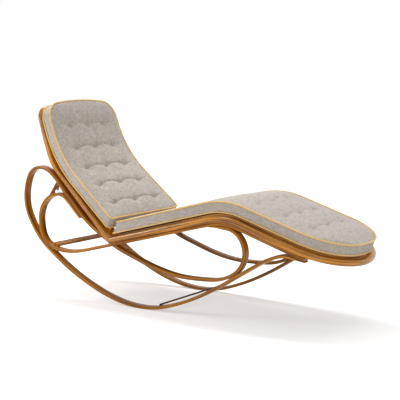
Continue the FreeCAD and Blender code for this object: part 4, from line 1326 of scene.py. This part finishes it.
def add_strap(bm, line, face, base, s, half):
    """One strap across the frame, with a slight sag and rounded edges."""
    count = bpy.context.scene.chaise_sizes.strap_count
    edge, skin = 0.8, 0.1
    section = ((0.0, STRAP_THICK / 2.0), (edge, skin), (STRAP_W - edge, skin),
               (STRAP_W, STRAP_THICK / 2.0), (STRAP_W - edge, STRAP_THICK - skin),
               (edge, STRAP_THICK - skin))
    rings = []
    for i in range(count + 1):
        y = -half + 2.0 * half * i / count
        sag = STRAP_SAG * (1.0 - (y / half) ** 2)
        ring = []
        for ds, n in section:
            p, t = line.at(s + ds)
            ring.append(bm.verts.new(vec(p + 1j * t * face * (base + n - sag), y)))
        rings.append(ring)
    join_rings(bm, rings)


def dress(pad, name, body, sizes):
    """A cushion with its cloth and the two rings of piping."""
    piece = sewn_pad(name, pad, sizes)
    finish(piece, name + "_tufted_cushion", materials("heather_cushion_cloth"), body,
           [name + "_cushion"], CLOTH_ANGLE)
    section = circle(sizes.piping / MM / 2.0, PIPING_SIDES)
    for level, n in (("upper", pad.height - PIPING_UNDER), ("lower", PIPING_OVER)):
        frames = pad.seam_frames(n)
        ring = swept(name, frames, section, True)
        grain = ring.data.attributes.new("grain", "FLOAT_VECTOR", "POINT")
        for i, value in enumerate(grain.data):
            value.vector = (frames[i // PIPING_SIDES][3], MM * (i % PIPING_SIDES), 0.0)
        finish(ring, "%s_%s_piping" % (name, level), materials("bias_cotton_piping"), body, [],
               CLOTH_ANGLE)


class CHAISE_OT_seat_cushion(bpy.types.Operator):
    """Sew and fill the seat cushion"""
    bl_idname = "chaise.seat_cushion"
    bl_label = "Seat cushion"

    def execute(self, context):
        sizes = context.scene.chaise_sizes
        dress(seat_pad(sizes), "seat", "base", sizes)
        return {"FINISHED"}


class CHAISE_OT_back_cushion(bpy.types.Operator):
    """Sew and fill the back cushion"""
    bl_idname = "chaise.back_cushion"
    bl_label = "Back cushion"

    def execute(self, context):
        sizes = context.scene.chaise_sizes
        dress(back_pad(sizes), "back", "back", sizes)
        return {"FINISHED"}


class CHAISE_OT_cross_pieces(bpy.types.Operator):
    """Finish the rods, the stretcher and the notched racks"""
    bl_idname = "chaise.cross_pieces"
    bl_label = "Rods and racks"

    def execute(self, context):
        colour_nodes(materials("satin_dowel"), ("stay_rod", "rack_tie_rod", "rear_stretcher"))
        # The bottom tie rod is drawn near-black
        colour_nodes(materials("dark_stained_dowel"), ("bottom_tie_rod",))
        colour_nodes(materials("satin_rack"), ("right_rack", "left_rack"))
        return {"FINISHED"}


class CHAISE_OT_fittings(bpy.types.Operator):
    """Finish the hinges, the rack brackets and the rod plates"""
    bl_idname = "chaise.fittings"
    bl_label = "Brass fittings"

    def execute(self, context):
        kinds = ("hinge_seat_leaf", "hinge_back_leaf", "hinge_pin", "rack_bracket", "rod_plate")
        for side, _ in SIDES:
            colour_nodes(materials("aged_rolled_brass"), ["%s_%s" % (side, k) for k in kinds])
        return {"FINISHED"}


class CHAISE_OT_stage(bpy.types.Operator):
    """Set up the pale floor, the soft lights and the camera"""
    bl_idname = "chaise.stage"
    bl_label = "Studio"

    def execute(self, context):
        scene = context.scene
        scene.view_settings.view_transform = "Standard"
        self.floor()
        self.world(scene)
        for name, place, aim, size, deep, power in LAMPS:
            lamp = bpy.data.lights.new(name, "AREA")
            lamp.shape = "RECTANGLE"
            lamp.size = size
            lamp.size_y = deep
            lamp.energy = power
            o = new_piece(name + "_softbox", lamp)
            o.visible_camera = False
            o.location = place
            o.rotation_euler = (Vector(aim) - o.location).to_track_quat("-Z", "Y").to_euler()

        camera = bpy.data.cameras.new("camera")
        camera.sensor_fit = "HORIZONTAL"
        camera.sensor_width = CAMERA_SENSOR
        camera.lens = CAMERA_LENS
        o = new_piece("camera", camera)
        o.location = CAMERA_PLACE
        o.rotation_euler = (math.radians(CAMERA_TILT), 0.0, math.radians(CAMERA_TURN))
        scene.camera = o
        return {"FINISHED"}

    def floor(self):
        """A matt white floor that keeps the shadow and shows white, more so far away."""
        r = FLOOR_HALF
        mesh = bpy.data.meshes.new("floor")
        mesh.from_pydata([(-r, -r, 0.0), (r, -r, 0.0), (r, r, 0.0), (-r, r, 0.0)], [],
                         [(0, 1, 2, 3)])
        floor = new_piece("studio_floor", mesh)
        material, tree, surface = blank("matt_white_floor")
        place = node(tree, "TexCoord")
        away = node(tree, "VectorMath", [(0, place, "Object")], operation="LENGTH")
        paler = node(tree, "MapRange", [(0, away, "Value")], in_1=FLOOR_NEAR[0],
                     in_2=FLOOR_FAR[0], in_3=FLOOR_NEAR[1], in_4=FLOOR_FAR[1])
        white = node(tree, "Math", [(0, seen_only(tree), 0), (1, paler, 0)], operation="MULTIPLY")
        wire(tree, surface, [("Emission Strength", white, 0)],
             [("Base Color", (FLOOR_GREY,) * 3 + (1.0,)), ("Roughness", 0.9),
              ("Specular IOR Level", 0.1), ("Emission Color", (1.0, 1.0, 1.0, 1.0))])
        floor.data.materials.append(material)

    def world(self, scene):
        """A plain pale studio all round, seen as white."""
        world = bpy.data.worlds.new("soft_studio")
        scene.world = world
        world.use_nodes = True
        tree = world.node_tree
        light = tree.nodes["Background"]
        wire(tree, light, [], [("Color", (1.0, 1.0, 1.0, 1.0)), ("Strength", WORLD_STRENGTH)])
        shown = node(tree, "Background", in_0=(1.0, 1.0, 1.0, 1.0), in_1=1.0)
        mix = node(tree, "MixShader", [(0, seen_only(tree), 0), (1, light, 0), (2, shown, 0)])
        tree.links.new(mix.outputs[0], tree.nodes["World Output"].inputs["Surface"])


class CHAISE_PT_panel(bpy.types.Panel):
    """Lists the chaise's sizes, colours and operators"""
    bl_label = "Chaise"
    bl_idname = "CHAISE_PT_panel"
    bl_space_type = "VIEW_3D"
    bl_region_type = "UI"
    bl_category = "Chaise"

    def draw(self, context):
        scene = context.scene
        for group in (scene.chaise_sizes, scene.chaise_colours):
            for key in group.__annotations__:
                self.layout.prop(group, key)
        for operator in OPERATORS:
            self.layout.operator(operator.bl_idname)


OPERATORS = (
    CHAISE_OT_strips,
    CHAISE_OT_rails,
    CHAISE_OT_rings,
    CHAISE_OT_webbing,
    CHAISE_OT_seat_cushion,
    CHAISE_OT_back_cushion,
    CHAISE_OT_cross_pieces,
    CHAISE_OT_fittings,
    CHAISE_OT_stage,
)


def register():
    for cls in (ChaiseSizes, ChaiseColours) + OPERATORS + (CHAISE_PT_panel,):
        bpy.utils.register_class(cls)
    bpy.types.Scene.chaise_sizes = PointerProperty(type=ChaiseSizes)
    bpy.types.Scene.chaise_colours = PointerProperty(type=ChaiseColours)


def unregister():
    del bpy.types.Scene.chaise_colours
    del bpy.types.Scene.chaise_sizes
    for cls in reversed((ChaiseSizes, ChaiseColours) + OPERATORS + (CHAISE_PT_panel,)):
        bpy.utils.unregister_class(cls)


def main():
    register()
    for operator in OPERATORS:
        group, name = operator.bl_idname.split(".")
        getattr(getattr(bpy.ops, group), name)()


if __name__ == "__main__":
    main()
